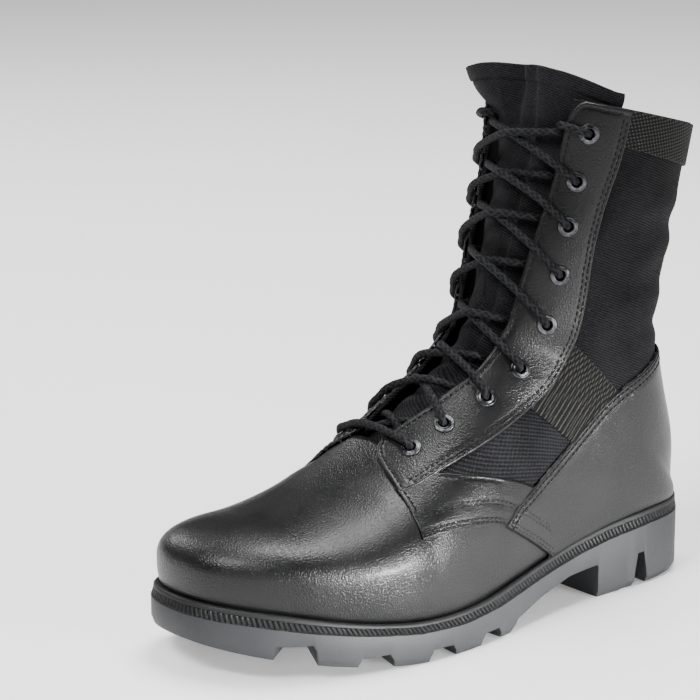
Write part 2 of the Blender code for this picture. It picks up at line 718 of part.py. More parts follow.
def build_rand(group, shade):
    """Ribbed band round the top of the sole, its ribs leaning towards the toe."""
    line = feather_line()
    points = [p for _, p in line]
    normals = outward_directions(points)
    count = len(line)
    rings = []
    for i in range(count):
        k = (i + 1) % count
        span = np.linalg.norm(points[k] - points[i])
        ribs = max(1, round(span / RIB_PITCH))
        for step in range(2 * ribs):
            share = step / (2 * ribs)
            r = line[i][0] * (1 - share) + line[k][0] * share
            foot = table_value(SOLE_SIDE, r, 1) * SHAFT_HEIGHT
            inset = table_value(SOLE_SIDE, r, 2)
            p = points[i] * (1 - share) + points[k] * share
            n = normals[i] * (1 - share) + normals[k] * share
            n = n / np.linalg.norm(n)
            sink = RIB_DEPTH if step % 2 else 0.0
            top = p[2] + LIP_RISE
            rings.append([
                (*(p + n * 0.0022)[:2], foot),
                (*(p + n * (SOLE_PROJECTION - sink * 0.4))[:2], foot),
                (*(p + n * (SOLE_PROJECTION - inset - sink))[:2], top - 0.0016),
                (*(p + n * (SOLE_PROJECTION - inset - 0.0006))[:2], top),
                (*(p + n * 0.0024)[:2], top),
            ])
    return loft("rand", rings, True, group, shade)


def build_insole(group, shade):
    line = feather_line()
    points = [p for _, p in line]
    normals = outward_directions(points)
    count = len(line)
    vertices, faces = [], []
    for height in (0.0004, 0.0004 + INSOLE_THICKNESS):
        for p, n in zip(points, normals):
            q = p - n * (0.0042 if height < 0.001 else 0.0048)
            vertices.append((q[0], q[1], p[2] + height))
    half = count // 2
    for level in (0, count):
        for i in range(half):
            corner = [i, i + 1, (count - i - 1) % count, (count - i) % count]
            corner = [c for k, c in enumerate(corner) if c not in corner[:k]]
            faces.append([c + level for c in corner])
    faces += [[i, (i + 1) % count, count + (i + 1) % count, count + i] for i in range(count)]
    return face_outwards(new_object("insole", vertices, faces, group, shade))


def build_eyelets(group, shade):
    start = OVERLAY_GAP + LEATHER
    profile = [
        (EYELET_BORE, -0.0012),
        (EYELET_HOLE - 0.0004, -0.0012),
        (EYELET_HOLE - 0.0004, start + 0.0007),
        (EYELET_FLANGE, start + 0.0007),
        (EYELET_FLANGE - 0.0010, start + 0.0016),
        (EYELET_BORE + 0.0003, start + 0.0013),
    ]
    for k, (place, axis) in enumerate(eyelet_frames()):
        side = "lateral" if k % 2 == 0 else "medial"
        vertices, faces = turned(profile, place, axis, EYELET_SIDES)
        face_outwards(new_object(f"eyelet_{side}_{k // 2 + 1}", vertices, faces, group, shade))


def tube(name, points, radius, sides, group, shade):
    rings = []
    points = [Vector(p) for p in points]
    previous = None
    for i, p in enumerate(points):
        ahead = points[min(i + 1, len(points) - 1)] - points[max(i - 1, 0)]
        ahead.normalize()
        if previous is None:
            previous = ahead.orthogonal().normalized()
        across = (previous - ahead * previous.dot(ahead)).normalized()
        previous = across
        up = ahead.cross(across)
        rings.append([p + across * radius * math.cos(2 * math.pi * k / sides)
                      + up * radius * math.sin(2 * math.pi * k / sides) for k in range(sides)])
    return loft(name, rings, False, group, shade)


def run_over(first, second, side, mode):
    """A lace's run over the tongue from one eyelet towards the next on the other side."""
    r_from, from_edge = EYELETS[first][0], EYELETS[first][1 if side > 0 else 2]
    r_to, to_edge = EYELETS[second][0], EYELETS[second][2 if side > 0 else 1]
    total = from_edge + to_edge
    own = (from_edge - throat_edge(r_from, side)) / total
    other = 1 - (to_edge - throat_edge(r_to, -side)) / total
    lift = OVERLAY_GAP + LEATHER + LACE_RADIUS + 0.0006
    if mode == "bar":
        keys = [(0.0064 / total, lift), (0.5, lift), (1 - 0.0064 / total, lift)]
    elif mode == "inner":
        keys = [(own + LACE_STOP / total, -0.0010), (0.5, -0.0004), (other - LACE_STOP / total, -0.0010)]
    else:
        keys = [(0.0064 / total, lift), (own, lift - 0.0001), (0.5, 0.0022),
                (other - LACE_STOP / total, -0.0010)]
    points = []
    steps = 9
    for k in range(steps):
        share = keys[0][0] + (keys[-1][0] - keys[0][0]) * k / (steps - 1)
        distance = (from_edge - total * share) * side
        place = 1 if distance >= 0 else -1
        r = r_from + (r_to - r_from) * share
        normal = last_normal(r, max(abs(distance), 0.001), place)
        points.append(last_point(r, abs(distance), place) + normal * table_value(keys, share, 1))
    return points


def build_laces(group, helpers, shade):
    for k in range(len(EYELETS) - 1):
        mode = "cross" if k else "inner"
        first = run_over(k, k + 1, 1, mode)
        second = run_over(k, k + 1, -1, mode)
        one = tube(f"lace_crossing_{k + 1}", first, LACE_RADIUS, LACE_SIDES, group, shade)
        other = tube(f"lace_other_{k + 1}", second, LACE_RADIUS * 0.98, LACE_SIDES, helpers, None)
        boolean(one, as_cutter(other), "UNION")
    tube("lace_bar", run_over(0, 0, 1, "bar"), LACE_RADIUS, LACE_SIDES, group, shade)


def main():
    clear_scene()
    boot = collection("jungle_boot")
    helpers = collection("cutters")
    leather = material("smooth_leather", (0.018, 0.018, 0.020), 0.38)
    canvas = material("canvas", (0.016, 0.016, 0.018), 0.90)
    webbing = material("nylon_webbing", (0.022, 0.021, 0.018), 0.70)
    rubber = material("sole_rubber", (0.045, 0.046, 0.048), 0.62)
    metal = material("eyelet_metal", (0.10, 0.10, 0.11), 0.35, 1.0)
    cord = material("lace_cord", (0.014, 0.014, 0.015), 0.80)
    holes = eyelet_cutters(helpers)
    build_outsole(boot, helpers, rubber)
    build_rand(boot, rubber)
    build_insole(boot, material("insole_board", (0.05, 0.04, 0.03), 0.85))
    build_upper(boot, holes, canvas)
    build_tongue(boot, canvas)
    build_overlays(boot, helpers, holes, leather, webbing)
    build_eyelets(boot, metal)
    build_laces(boot, helpers, cord)


main()
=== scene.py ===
"""Dresses the solids of a left jungle boot, as a Blender add-on that also runs as a script.

Toe towards -Y, lateral side towards +X, the floor at Z = 0. The leather, canvas and webbing
pieces follow the last of the solids, with the creases of the worn boot added to it and with
the sole and feather line raised a little between the ball and the toe.
"""

import functools
import math

import bmesh
import bpy
import numpy as np
from bpy.props import FloatProperty, FloatVectorProperty, IntProperty, PointerProperty
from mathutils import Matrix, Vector
from mathutils.kdtree import KDTree


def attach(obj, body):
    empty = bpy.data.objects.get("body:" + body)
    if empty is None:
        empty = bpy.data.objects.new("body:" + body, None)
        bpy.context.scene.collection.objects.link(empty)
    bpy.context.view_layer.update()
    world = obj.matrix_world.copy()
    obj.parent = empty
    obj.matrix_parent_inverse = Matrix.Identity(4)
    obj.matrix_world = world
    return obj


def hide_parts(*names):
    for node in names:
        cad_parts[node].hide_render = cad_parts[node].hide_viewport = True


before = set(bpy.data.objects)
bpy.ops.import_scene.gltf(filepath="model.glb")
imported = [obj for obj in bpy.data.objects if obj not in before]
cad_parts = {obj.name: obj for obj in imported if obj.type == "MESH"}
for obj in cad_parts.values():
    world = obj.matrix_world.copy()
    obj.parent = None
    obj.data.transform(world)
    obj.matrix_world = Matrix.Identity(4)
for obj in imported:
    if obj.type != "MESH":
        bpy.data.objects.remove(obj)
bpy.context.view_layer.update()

bl_info = {
    "name": "Jungle boot dressing",
    "version": (1, 0, 0),
    "blender": (4, 5, 0),
    "location": "View3D > Sidebar > Boot",
    "description": "Dresses a jungle boot with leather, canvas, stitching, lace and a moulded sole",
    "category": "Object",
}

# The last of the part's source with the feather line raised in its toe sections. One row per
# section from the toe, round the ankle and up the shaft: ridge y and z as shares of length and
# height, ridge x as a share of ball width, feather line y and x lateral then medial, feather z,
# widest x lateral and medial, share of the drop at the widest place, crown power, foot power,
# share of the fan
LAST = [
    (0.846, 0.258, -0.061, 0.980, -0.104, 0.980, -0.104, 0.135, -0.104, -0.104, 0.60, 2.6, 2.0, 1.0),
    (0.846, 0.258, -0.061, 0.970, 0.052, 0.974, -0.235, 0.135, 0.061, -0.243, 0.60, 2.6, 2.0, 1.0),
    (0.846, 0.258, -0.061, 0.938, 0.183, 0.948, -0.339, 0.130, 0.200, -0.357, 0.60, 2.6, 2.0, 1.0),
    (0.846, 0.258, -0.061, 0.892, 0.287, 0.898, -0.400, 0.121, 0.304, -0.422, 0.60, 2.6, 2.0, 1.0),
    (0.846, 0.258, -0.061, 0.839, 0.365, 0.839, -0.426, 0.107, 0.387, -0.448, 0.60, 2.5, 2.0, 1.0),
    (0.770, 0.273, -0.070, 0.767, 0.426, 0.767, -0.443, 0.089, 0.452, -0.465, 0.60, 2.4, 2.0, 0.6),
    (0.689, 0.309, -0.080, 0.682, 0.461, 0.682, -0.443, 0.074, 0.487, -0.461, 0.62, 2.3, 2.0, 0.2),
    (0.615, 0.359, -0.087, 0.600, 0.461, 0.600, -0.409, 0.072, 0.487, -0.430, 0.62, 2.2, 2.0, 0.0),
    (0.556, 0.412, -0.080, 0.518, 0.426, 0.518, -0.339, 0.080, 0.452, -0.383, 0.62, 2.1, 2.0, 0.0),
    (0.518, 0.453, -0.065, 0.426, 0.365, 0.426, -0.278, 0.098, 0.409, -0.348, 0.60, 2.1, 2.0, 0.0),
    (0.492, 0.482, -0.045, 0.328, 0.313, 0.328, -0.243, 0.117, 0.374, -0.330, 0.57, 2.1, 2.0, 0.0),
    (0.474, 0.507, -0.028, 0.230, 0.296, 0.230, -0.270, 0.137, 0.348, -0.322, 0.55, 2.1, 2.1, 0.0),
    (0.459, 0.532, -0.014, 0.138, 0.287, 0.138, -0.283, 0.148, 0.335, -0.322, 0.52, 2.1, 2.2, 0.0),
    (0.447, 0.557, -0.005, 0.066, 0.235, 0.066, -0.235, 0.151, 0.330, -0.322, 0.50, 2.1, 2.2, 0.0),
    (0.437, 0.583, 0.000, 0.029, 0.127, 0.029, -0.127, 0.152, 0.330, -0.322, 0.50, 2.1, 2.2, 0.0),
    (0.427, 0.609, 0.000, 0.016, 0.000, 0.016, 0.000, 0.152, 0.330, -0.326, 0.50, 2.1, 2.2, 0.0),
    (0.414, 0.661, 0.000, 0.013, 0.000, 0.013, 0.000, 0.235, 0.335, -0.330, 0.48, 2.1, 2.2, 0.0),
    (0.401, 0.715, 0.000, 0.036, 0.000, 0.036, 0.000, 0.327, 0.335, -0.335, 0.47, 2.1, 2.2, 0.0),
    (0.387, 0.768, 0.000, 0.056, 0.000, 0.056, 0.000, 0.422, 0.335, -0.335, 0.46, 2.1, 2.2, 0.0),
    (0.372, 0.821, 0.000, 0.057, 0.000, 0.057, 0.000, 0.517, 0.339, -0.339, 0.46, 2.1, 2.2, 0.0),
    (0.361, 0.867, 0.000, 0.047, 0.000, 0.047, 0.000, 0.612, 0.348, -0.348, 0.46, 2.1, 2.2, 0.0),
    (0.354, 0.914, 0.000, 0.031, 0.000, 0.031, 0.000, 0.711, 0.361, -0.361, 0.46, 2.1, 2.2, 0.0),
    (0.348, 0.957, 0.000, 0.015, 0.000, 0.015, 0.000, 0.806, 0.374, -0.374, 0.46, 2.1, 2.2, 0.0),
    (0.341, 1.000, 0.000, -0.002, 0.000, -0.002, 0.000, 0.901, 0.383, -0.383, 0.46, 2.1, 2.2, 0.0),
]
SOLE_LENGTH = 0.305
BALL_WIDTH = 0.115
SHAFT_HEIGHT = 0.256
HEEL_CENTRE = 0.034
SEAM_ROW = 15
TOP_ROW = len(LAST) - 1
THROAT_BASE = 7.0
WALL = 0.0022
OVERLAY_GAP = 0.00035
LEATHER = 0.0017
BAND = 0.0009
WEBBING = 0.0013
SOLE_PROJECTION = 0.0055
HEEL_HEIGHT = 0.0175
LUG_DEPTH = 0.0058

# Throat edge, distance from the ridge over the surface: section, lateral, medial
THROAT = [
    (0.0, 0.0060, 0.0060),
    (4.0, 0.0060, 0.0120),
    (7.0, 0.0105, 0.0130),
    (8.4, 0.0190, 0.0150),
    (10.2, 0.0220, 0.0175),
    (13.0, 0.0220, 0.0205),
    (16.0, 0.0240, 0.0230),
    (18.4, 0.0270, 0.0250),
    (22.0, 0.0310, 0.0290),
    (23.0, 0.0330, 0.0310),
]
# Eyelets: section, distance from the ridge on each side
EYELETS = [
    (7.20, 0.0290, 0.0265),
    (8.20, 0.0320, 0.0285),
    (10.00, 0.0350, 0.0310),
    (12.30, 0.0380, 0.0340),
    (15.50, 0.0425, 0.0365),
    (17.20, 0.0435, 0.0380),
    (18.70, 0.0412, 0.0390),
    (20.20, 0.0402, 0.0400),
    (21.90, 0.0425, 0.0415),
]
# Ribbed band of the sole: section, foot as a share of height, inset at the top
SOLE_SIDE = [
    (0.0, 0.1152, 0.0014),
    (1.0, 0.1150, 0.0014),
    (2.0, 0.1098, 0.0015),
    (3.0, 0.1005, 0.0016),
    (4.0, 0.0877, 0.0017),
    (5.0, 0.0723, 0.0018),
    (6.0, 0.0591, 0.0018),
    (7.0, 0.0559, 0.0018),
    (8.0, 0.0633, 0.0018),
    (9.0, 0.0793, 0.0018),
    (10.0, 0.0969, 0.0018),
    (11.0, 0.1141, 0.0014),
    (12.0, 0.1250, 0.0010),
    (15.0, 0.1289, 0.0008),
]
# Front edge of the eyestay and band: distance from the ridge, section lateral and medial
FRONT_EDGE = [
    (0.0090, 7.20, 7.30),
    (0.0120, 6.82, 6.95),
    (0.0180, 6.63, 6.74),
    (0.0270, 6.48, 6.56),
    (0.0430, 6.30, 6.34),
    (0.0580, 6.21, 6.22),
    (0.0720, 6.19, 6.19),
]
# Outlines seen from the side: share of sole length from the heel, share of height
STAY_REAR = [
    (0.667, 0.2969),
    (0.650, 0.2988),
    (0.592, 0.3273),
    (0.498, 0.3652),
    (0.400, 0.4082),
    (0.345, 0.4492),
    (0.308, 0.5117),
    (0.290, 0.5938),
    (0.280, 0.6875),
    (0.258, 0.7891),
    (0.235, 0.8672),
    (0.215, 0.9844),
    (0.213, 1.0742),
]
BAND_TOP = [
    (0.700, 0.3320),
    (0.600, 0.3262),
    (0.560, 0.3195),
    (0.523, 0.3125),
    (0.470, 0.2949),
    (0.418, 0.2676),
    (0.340, 0.2188),
]
BAND_FOOT = [
    (0.700, 0.2281),
    (0.673, 0.2281),
    (0.607, 0.2344),
    (0.544, 0.2273),
    (0.500, 0.2148),
    (0.459, 0.1855),
    (0.410, 0.1484),
    (0.360, 0.1055),
]
COUNTER_TOP = [
    (-0.060, 0.4707),
    (0.090, 0.4688),
    (0.160, 0.4414),
    (0.232, 0.4082),
    (0.322, 0.3312),
    (0.410, 0.2742),
    (0.462, 0.2441),
    (0.500, 0.2227),
    (0.560, 0.1875),
]
COLLAR_FOOT = [(0.400, 0.9450), (0.240, 0.8984), (0.140, 0.8613), (0.060, 0.8320), (-0.080, 0.7852)]
WEBBING_BOX = [(0.298, 0.5080), (0.396, 0.4040), (0.319, 0.3250), (0.212, 0.4020)]

# Tongue: section, reach past the medial edge, outward shift at that edge, lateral reach, rise
TONGUE = [
    (6.4, 0.006, -0.0065, 0.010, 0.000),
    (8.0, 0.007, -0.0065, 0.010, 0.000),
    (9.0, 0.008, -0.0065, 0.010, 0.000),
    (10.0, 0.008, -0.0065, 0.010, 0.000),
    (11.5, 0.008, -0.0065, 0.010, 0.000),
    (13.0, 0.008, -0.0065, 0.010, 0.000),
    (14.5, 0.008, -0.0065, 0.010, 0.000),
    (16.0, 0.008, -0.0065, 0.010, 0.000),
    (17.5, 0.008, -0.0065, 0.011, 0.000),
    (18.6, 0.008, -0.0065, 0.013, 0.000),
    (19.5, 0.008, -0.0065, 0.016, 0.000),
    (20.5, 0.006, -0.0065, 0.019, 0.000),
    (21.3, 0.001, -0.0060, 0.022, 0.000),
    (21.9, -0.004, -0.0045, 0.024, 0.000),
    (22.3, -0.003, 0.0020, 0.025, 0.000),
    (22.7, 0.001, 0.0070, 0.026, 0.000),
    (23.0, 0.005, 0.0105, 0.027, 0.002),
    (23.0, 0.006, 0.0120, 0.028, 0.008),
    (23.0, 0.006, 0.0130, 0.028, 0.013),
]

# Grooves of the tread, measured from the back of the heel: from and to at GROOVE_EDGE out from
# the centre line, then from and to at the centre line. They are cut on straight to GROOVE_REACH.
# The groove of the heel has its first two values at GROOVE_REACH itself.
GROOVE_EDGE = 0.056
GROOVE_REACH = 0.085
LATERAL_GROOVES = [
    (0.1545, 0.1710, 0.1600, 0.1680),
    (0.1875, 0.2050, 0.1830, 0.1920),
    (0.2240, 0.2461, 0.2090, 0.2190),
    (0.2673, 0.3040, 0.2380, 0.2480),
]
MEDIAL_GROOVES = [
    (0.1560, 0.1720, 0.1600, 0.1680),
    (0.1880, 0.2040, 0.1830, 0.1920),
    (0.2180, 0.2340, 0.2060, 0.2160),
    (0.2500, 0.2660, 0.2300, 0.2400),
]
HEEL_GROOVE = (0.0460, 0.0600, 0.0400, 0.0480)

# Folds of the canvas above the heel counter: height, depth, width, slope towards the heel
CANVAS_FOLDS = [
    (0.1230, 0.0009, 0.0050, 0.06),
    (0.1340, -0.0017, 0.0060, 0.05),
    (0.1455, 0.0017, 0.0060, 0.02),
    (0.1575, -0.0015, 0.0060, -0.05),
    (0.1700, 0.0013, 0.0060, 0.04),
    (0.1840, -0.0012, 0.0070, 0.00),
    (0.1990, 0.0009, 0.0070, -0.03),
]

SPRING_START = 0.205
SPRING_LENGTH = 0.099
SPRING_HEIGHT = 0.0168
SPRING_POWER = 1.45

NUMBERS = np.array(LAST)
SCALES = np.array([SOLE_LENGTH, SHAFT_HEIGHT, BALL_WIDTH, SOLE_LENGTH, BALL_WIDTH, SOLE_LENGTH,
                   BALL_WIDTH, SHAFT_HEIGHT, BALL_WIDTH, BALL_WIDTH, 1, 1, 1, 1])
# Steps of the last's grid: sections, points from the ridge to the feather line
ROW_STEP = 0.05
SHARES = 241
# Sections at the foot and the top of the eyestay
STAY_FOOT = 6.30
STAY_TOP = 22.985
# Radius of the eyelet holes in the canvas and in the eyestay, sink of the thread, lace's steps
CANVAS_HOLE = 0.0030
STAY_HOLE = 0.0032
THREAD_SINK = 0.00025
LACE_STEP = 0.00052


class BootSizes(bpy.types.PropertyGroup):
    """Sizes of the fittings that dress the boot."""

    lace_diameter: FloatProperty(name="Lace", description="Diameter of the round lace",
                                 default=0.0039, min=0.002, max=0.0046, unit="LENGTH")
    braid_pitch: FloatProperty(name="Braid pitch", description="Length of one turn of the lace's braid",
                               default=0.0036, min=0.003, max=0.02, unit="LENGTH")
    stitch_length: FloatProperty(name="Stitch", description="Visible length of one stitch",
                                 default=0.0025, min=0.001, max=0.005, unit="LENGTH")
    stitch_pitch: FloatProperty(name="Stitch pitch", description="Distance from one stitch to the next",
                                default=0.0032, min=0.002, max=0.008, unit="LENGTH")
    thread_width: FloatProperty(name="Thread", description="Width of the sewing thread",
                                default=0.0008, min=0.0003, max=0.0015, unit="LENGTH")
    eyelet_radius: FloatProperty(name="Eyelet radius", description="Outer radius of an eyelet's ring",
                                 default=0.0051, min=0.003, max=0.006, unit="LENGTH")
    rib_pitch: FloatProperty(name="Rib pitch", description="Distance between the ribs round the sole",
                             default=0.0024, min=0.0015, max=0.006, unit="LENGTH")
    rib_depth: FloatProperty(name="Rib depth", description="Depth of the grooves between the ribs",
                             default=0.0009, min=0.0002, max=0.002, unit="LENGTH")
    hem_height: FloatProperty(name="Tongue hem", description="Height of the hem at the tongue's top",
                              default=0.0075, min=0.002, max=0.02, unit="LENGTH")
    lace_sides: IntProperty(name="Lace sides", description="Sides of the lace's round section",
                            default=16, min=6, max=32)


class BootColours(bpy.types.PropertyGroup):
    """Colours of the boot's materials, as linear light."""

    leather: FloatVectorProperty(name="Leather", description="Smooth black leather",
                                 default=(0.0030, 0.0030, 0.0033), size=3, subtype="COLOR", min=0, max=1)
    canvas: FloatVectorProperty(name="Canvas", description="Black cotton and nylon canvas",
                                default=(0.0090, 0.0090, 0.0102), size=3, subtype="COLOR", min=0, max=1)
    webbing: FloatVectorProperty(name="Webbing", description="Black webbing with an olive cast",
                                 default=(0.0185, 0.0181, 0.0167), size=3, subtype="COLOR", min=0, max=1)
    rubber: FloatVectorProperty(name="Rubber", description="Dark grey sole rubber",
                                default=(0.023, 0.024, 0.026), size=3, subtype="COLOR", min=0, max=1)
    metal: FloatVectorProperty(name="Metal", description="Gunmetal of the eyelets",
                               default=(0.075, 0.075, 0.080), size=3, subtype="COLOR", min=0, max=1)
    lace: FloatVectorProperty(name="Lace", description="Black lace",
                              default=(0.0022, 0.0022, 0.0025), size=3, subtype="COLOR", min=0, max=1)
    thread: FloatVectorProperty(name="Thread", description="Black sewing thread",
                                default=(0.0018, 0.0018, 0.0020), size=3, subtype="COLOR", min=0, max=1)
    floor: FloatVectorProperty(name="Floor", description="Pale studio floor",
                               default=(0.95, 0.95, 0.95), size=3, subtype="COLOR", min=0, max=1)


def sizes():
    return bpy.context.scene.boot_sizes


def colours():
    return bpy.context.scene.boot_colours


def column(table, keys, index):
    return np.interp(keys, [row[0] for row in table], [row[index] for row in table])


def smooth_step(values):
    clipped = np.clip(values, 0, 1)
    return clipped * clipped * (3 - 2 * clipped)


def bell(values, centre, width):
    return np.exp(-(((np.asarray(values) - centre) / width) ** 2))


def unit(vectors):
    return vectors / np.maximum(np.linalg.norm(vectors, axis=-1, keepdims=True), 1e-12)


def run_along(points):
    """Distance of each point of a line from its first point, along the line."""
    return np.concatenate([[0], np.cumsum(np.linalg.norm(np.diff(points, axis=0), axis=1))])


def read_line(marks, run, values):
    """Rows of values that are known at the distances run, read at marks."""
    return np.stack([np.interp(marks, run, part) for part in values.T], axis=-1)


def hermite(f, first, second, first_slope, second_slope):
    """A smooth run from first to second as f goes from 0 to 1, with the slopes at its ends."""
    return ((2 * f**3 - 3 * f**2 + 1) * first + (3 * f**2 - 2 * f**3) * second
            + (f**3 - 2 * f**2 + f) * first_slope + (f**3 - f**2) * second_slope)


def tree_of(points):
    tree = KDTree(len(points))
    for k, p in enumerate(points):
        tree.insert(p, k)
    tree.balance()
    return tree


# The last and the places on it


def last_row(r):
    i = min(int(r), len(NUMBERS) - 2)
    f = r - i

    def slope(k):
        low, high = max(k - 1, 0), min(k + 1, len(NUMBERS) - 1)
        both = (NUMBERS[high] - NUMBERS[low]) / (high - low)
        if k == SEAM_ROW:
            near = min(max(i, k - 1), k)
            both[3:8] = (NUMBERS[near + 1] - NUMBERS[near])[3:8]
        if k == 0:
            pairs = ((3, 5), (4, 6), (8, 9))
            for lateral, medial in pairs:
                both[lateral] = (NUMBERS[1][lateral] - NUMBERS[1][medial]) / 2
                both[medial] = -both[lateral]
            both[7] = 0
        return both

    value = hermite(f, NUMBERS[i], NUMBERS[i + 1], slope(i), slope(i + 1))
    if r < 4:
        value[:3] = NUMBERS[0][:3]
    return value * SCALES


def section(r, side, steps=80):
    """Half a section from the ridge to the feather line, with the distances of its points."""
    ridge_y, ridge_z, ridge_x, ly, lx, my, mx, foot_z, wide_l, wide_m, drop, crown, foot, fan = last_row(r)
    foot_y, foot_x, wide = (ly, lx, wide_l) if side > 0 else (my, mx, wide_m)
    reach = max(math.hypot(foot_y - ridge_y, foot_x - ridge_x), 1e-6)
    over = 0.0025 / reach * min(max(5 - r, 0), 1)
    if r < 4:
        wide = foot_x + over * (foot_x - ridge_x)
    upper = np.linspace(0, math.pi / 2, steps)
    lower = upper[1:]
    power_c = 2 / crown
    power_f = 2 / foot
    down = np.concatenate([drop * (1 - np.cos(upper) ** power_c),
                           drop + (1 - drop) * np.sin(lower) ** power_f])
    across = np.concatenate([ridge_x + (wide - ridge_x) * np.sin(upper) ** power_c,
                             foot_x + (wide - foot_x) * np.clip(np.cos(lower), 0, 1) ** power_f])
    along = np.concatenate([(1 + over) * np.sin(upper) ** power_c,
                            1 + over * np.clip(np.cos(lower), 0, 1) ** power_f])
    y = ridge_y + (foot_y - ridge_y) * (fan * along + (1 - fan) * down)
    z = ridge_z + (foot_z - ridge_z) * down
    points = np.stack([across, HEEL_CENTRE - y, z], axis=1)
    return points, run_along(points)


def creases(r, share, side, points):
    """Soft troughs and ridges of the worn leather and canvas, in metres outwards."""
    z = points[..., 2]
    flex = bell(r, 5.95, 0.30) * 0.0006 - bell(r, 6.45, 0.25) * 0.0006
    flex = flex * bell(share, 0.50, 0.30)
    hollow = -0.0014 * bell(r, 7.4, 1.0) * bell(share, 0.68, 0.16)
    back = smooth_step((share - 0.35) / 0.3) * smooth_step((r - 14) / 2.0) * smooth_step((22.2 - r) / 1.2)
    waves = np.zeros_like(z)
    for height, depth, width, slope in CANVAS_FOLDS:
        line = height + slope * (points[..., 1] + 0.02) + 0.004 * np.sin(points[..., 0] * 60 + height * 300)
        waves = waves + depth * bell(z, line, width)
    ankle = 0.0006 * np.sin((z - 0.11) * 2 * math.pi / 0.033 + side)
    ankle = ankle * smooth_step((0.42 - share) / 0.2) * smooth_step((r - 9.5) / 2) * smooth_step((17 - r) / 2)
    return flex + hollow + waves * back + ankle


def field_normals(points, side):
    along = np.gradient(points, axis=0)
    down = np.gradient(points, axis=1)
    normals = unit(np.cross(down, along) * side)
    pole = int(4 / ROW_STEP)
    normals[: pole + 1, :3] = normals[: pole + 1, 3:4]
    middle = unit(normals[: pole + 1, 0].mean(axis=0))
    normals[: pole + 1, 0] = middle
    normals[: pole + 1, 1] = unit(normals[: pole + 1, 1] + 2 * middle)
    normals[: pole + 1, 2] = unit(2 * normals[: pole + 1, 2] + middle)
    normals[int(15.2 / ROW_STEP):, -1, 0] = 0
    return unit(normals)


@functools.cache
def all_sections(side):
    """Rows, shares of the way down, and the points of one side of the plain last."""
    rows = np.arange(0, TOP_ROW + 1e-6, ROW_STEP)
    shares = np.linspace(0, 1, SHARES)
    points = np.empty((len(rows), SHARES, 3))
    for i, r in enumerate(rows):
        line, run = section(min(r, TOP_ROW - 1e-9), side)
        points[i] = read_line(shares * run[-1], run, line)
    return rows, shares, points


def evened(rows, shares, points, other):
    """The sections averaged with their neighbours: all the forefoot, and the heel above its edge."""
    reach = int(1.0 / ROW_STEP)
    weights = bell(np.arange(-reach, reach + 1) * ROW_STEP, 0, 0.5)
    wide = np.concatenate([other[reach:0:-1], points, np.repeat(points[-1:], reach, axis=0)])
    soft = sum(weight * wide[k:k + len(points)] for k, weight in enumerate(weights / weights.sum()))
    forefoot = smooth_step((12 - rows) / 3)[:, None]
    heel = smooth_step((rows - 9) / 3)[:, None] * smooth_step((19 - rows) / 2)[:, None]
    keep = np.maximum(forefoot, heel * smooth_step((1 - shares) / 0.14)[None, :])
    return points + (soft - points) * keep[..., None]


def build_field(side):
    rows, shares, points = all_sections(side)
    points = evened(rows, shares, points, all_sections(-side)[2])
    lengths = np.linalg.norm(np.diff(points, axis=1), axis=2).sum(axis=1)
    lift = creases(rows[:, None], shares[None, :], side, points)
    points = points + field_normals(points, side) * lift[..., None]
    return rows, lengths, points, field_normals(points, side)


FIELD = {side: build_field(side) for side in (1, -1)}


def total_length(r, side):
    return np.interp(r, FIELD[side][0], FIELD[side][1])


def on_side(r, distance, side, lift=0.0):
    """Points and normals on the dressed last at a distance from the ridge, raised by lift."""
    r, distance = np.broadcast_arrays(np.asarray(r, float), np.asarray(distance, float))
    rows, _, points, normals = FIELD[side]
    u = np.clip(r / ROW_STEP, 0, len(rows) - 1 - 1e-6)
    v = np.clip(distance / total_length(r, side) * (SHARES - 1), 0, SHARES - 1 - 1e-6)
    i, j = u.astype(int), v.astype(int)
    fu, fv = (u - i)[..., None], (v - j)[..., None]

    def blend(grid):
        return ((grid[i, j] * (1 - fu) + grid[i + 1, j] * fu) * (1 - fv)
                + (grid[i, j + 1] * (1 - fu) + grid[i + 1, j + 1] * fu) * fv)

    point, normal = blend(points), unit(blend(normals))
    return point + normal * np.asarray(lift, float)[..., None], normal


def on_last(r, signed, lift=0.0):
    """As on_side, with the distance positive to the lateral side and negative to the medial."""
    r, signed, lift = np.broadcast_arrays(np.asarray(r, float), np.asarray(signed, float),
                                          np.asarray(lift, float))
    lateral, lateral_normal = on_side(r, np.abs(signed), 1, lift)
    medial, medial_normal = on_side(r, np.abs(signed), -1, lift)
    pick = (signed >= 0)[..., None]
    return np.where(pick, lateral, medial), np.where(pick, lateral_normal, medial_normal)


def throat_edge(r, side):
    return column(THROAT, r, 1 if side > 0 else 2)


def side_line(points, rounds=2):
    """World y, z of a side outline given as shares, rounded between its points."""
    line = [(HEEL_CENTRE - share * SOLE_LENGTH, rise * SHAFT_HEIGHT) for share, rise in points]
    for _ in range(rounds):
        finer = [line[0]]
        for (ya, za), (yb, zb) in zip(line, line[1:]):
            finer.append((ya * 0.75 + yb * 0.25, za * 0.75 + zb * 0.25))
            finer.append((ya * 0.25 + yb * 0.75, za * 0.25 + zb * 0.75))
        finer.append(line[-1])
        line = finer
    return np.array(line)


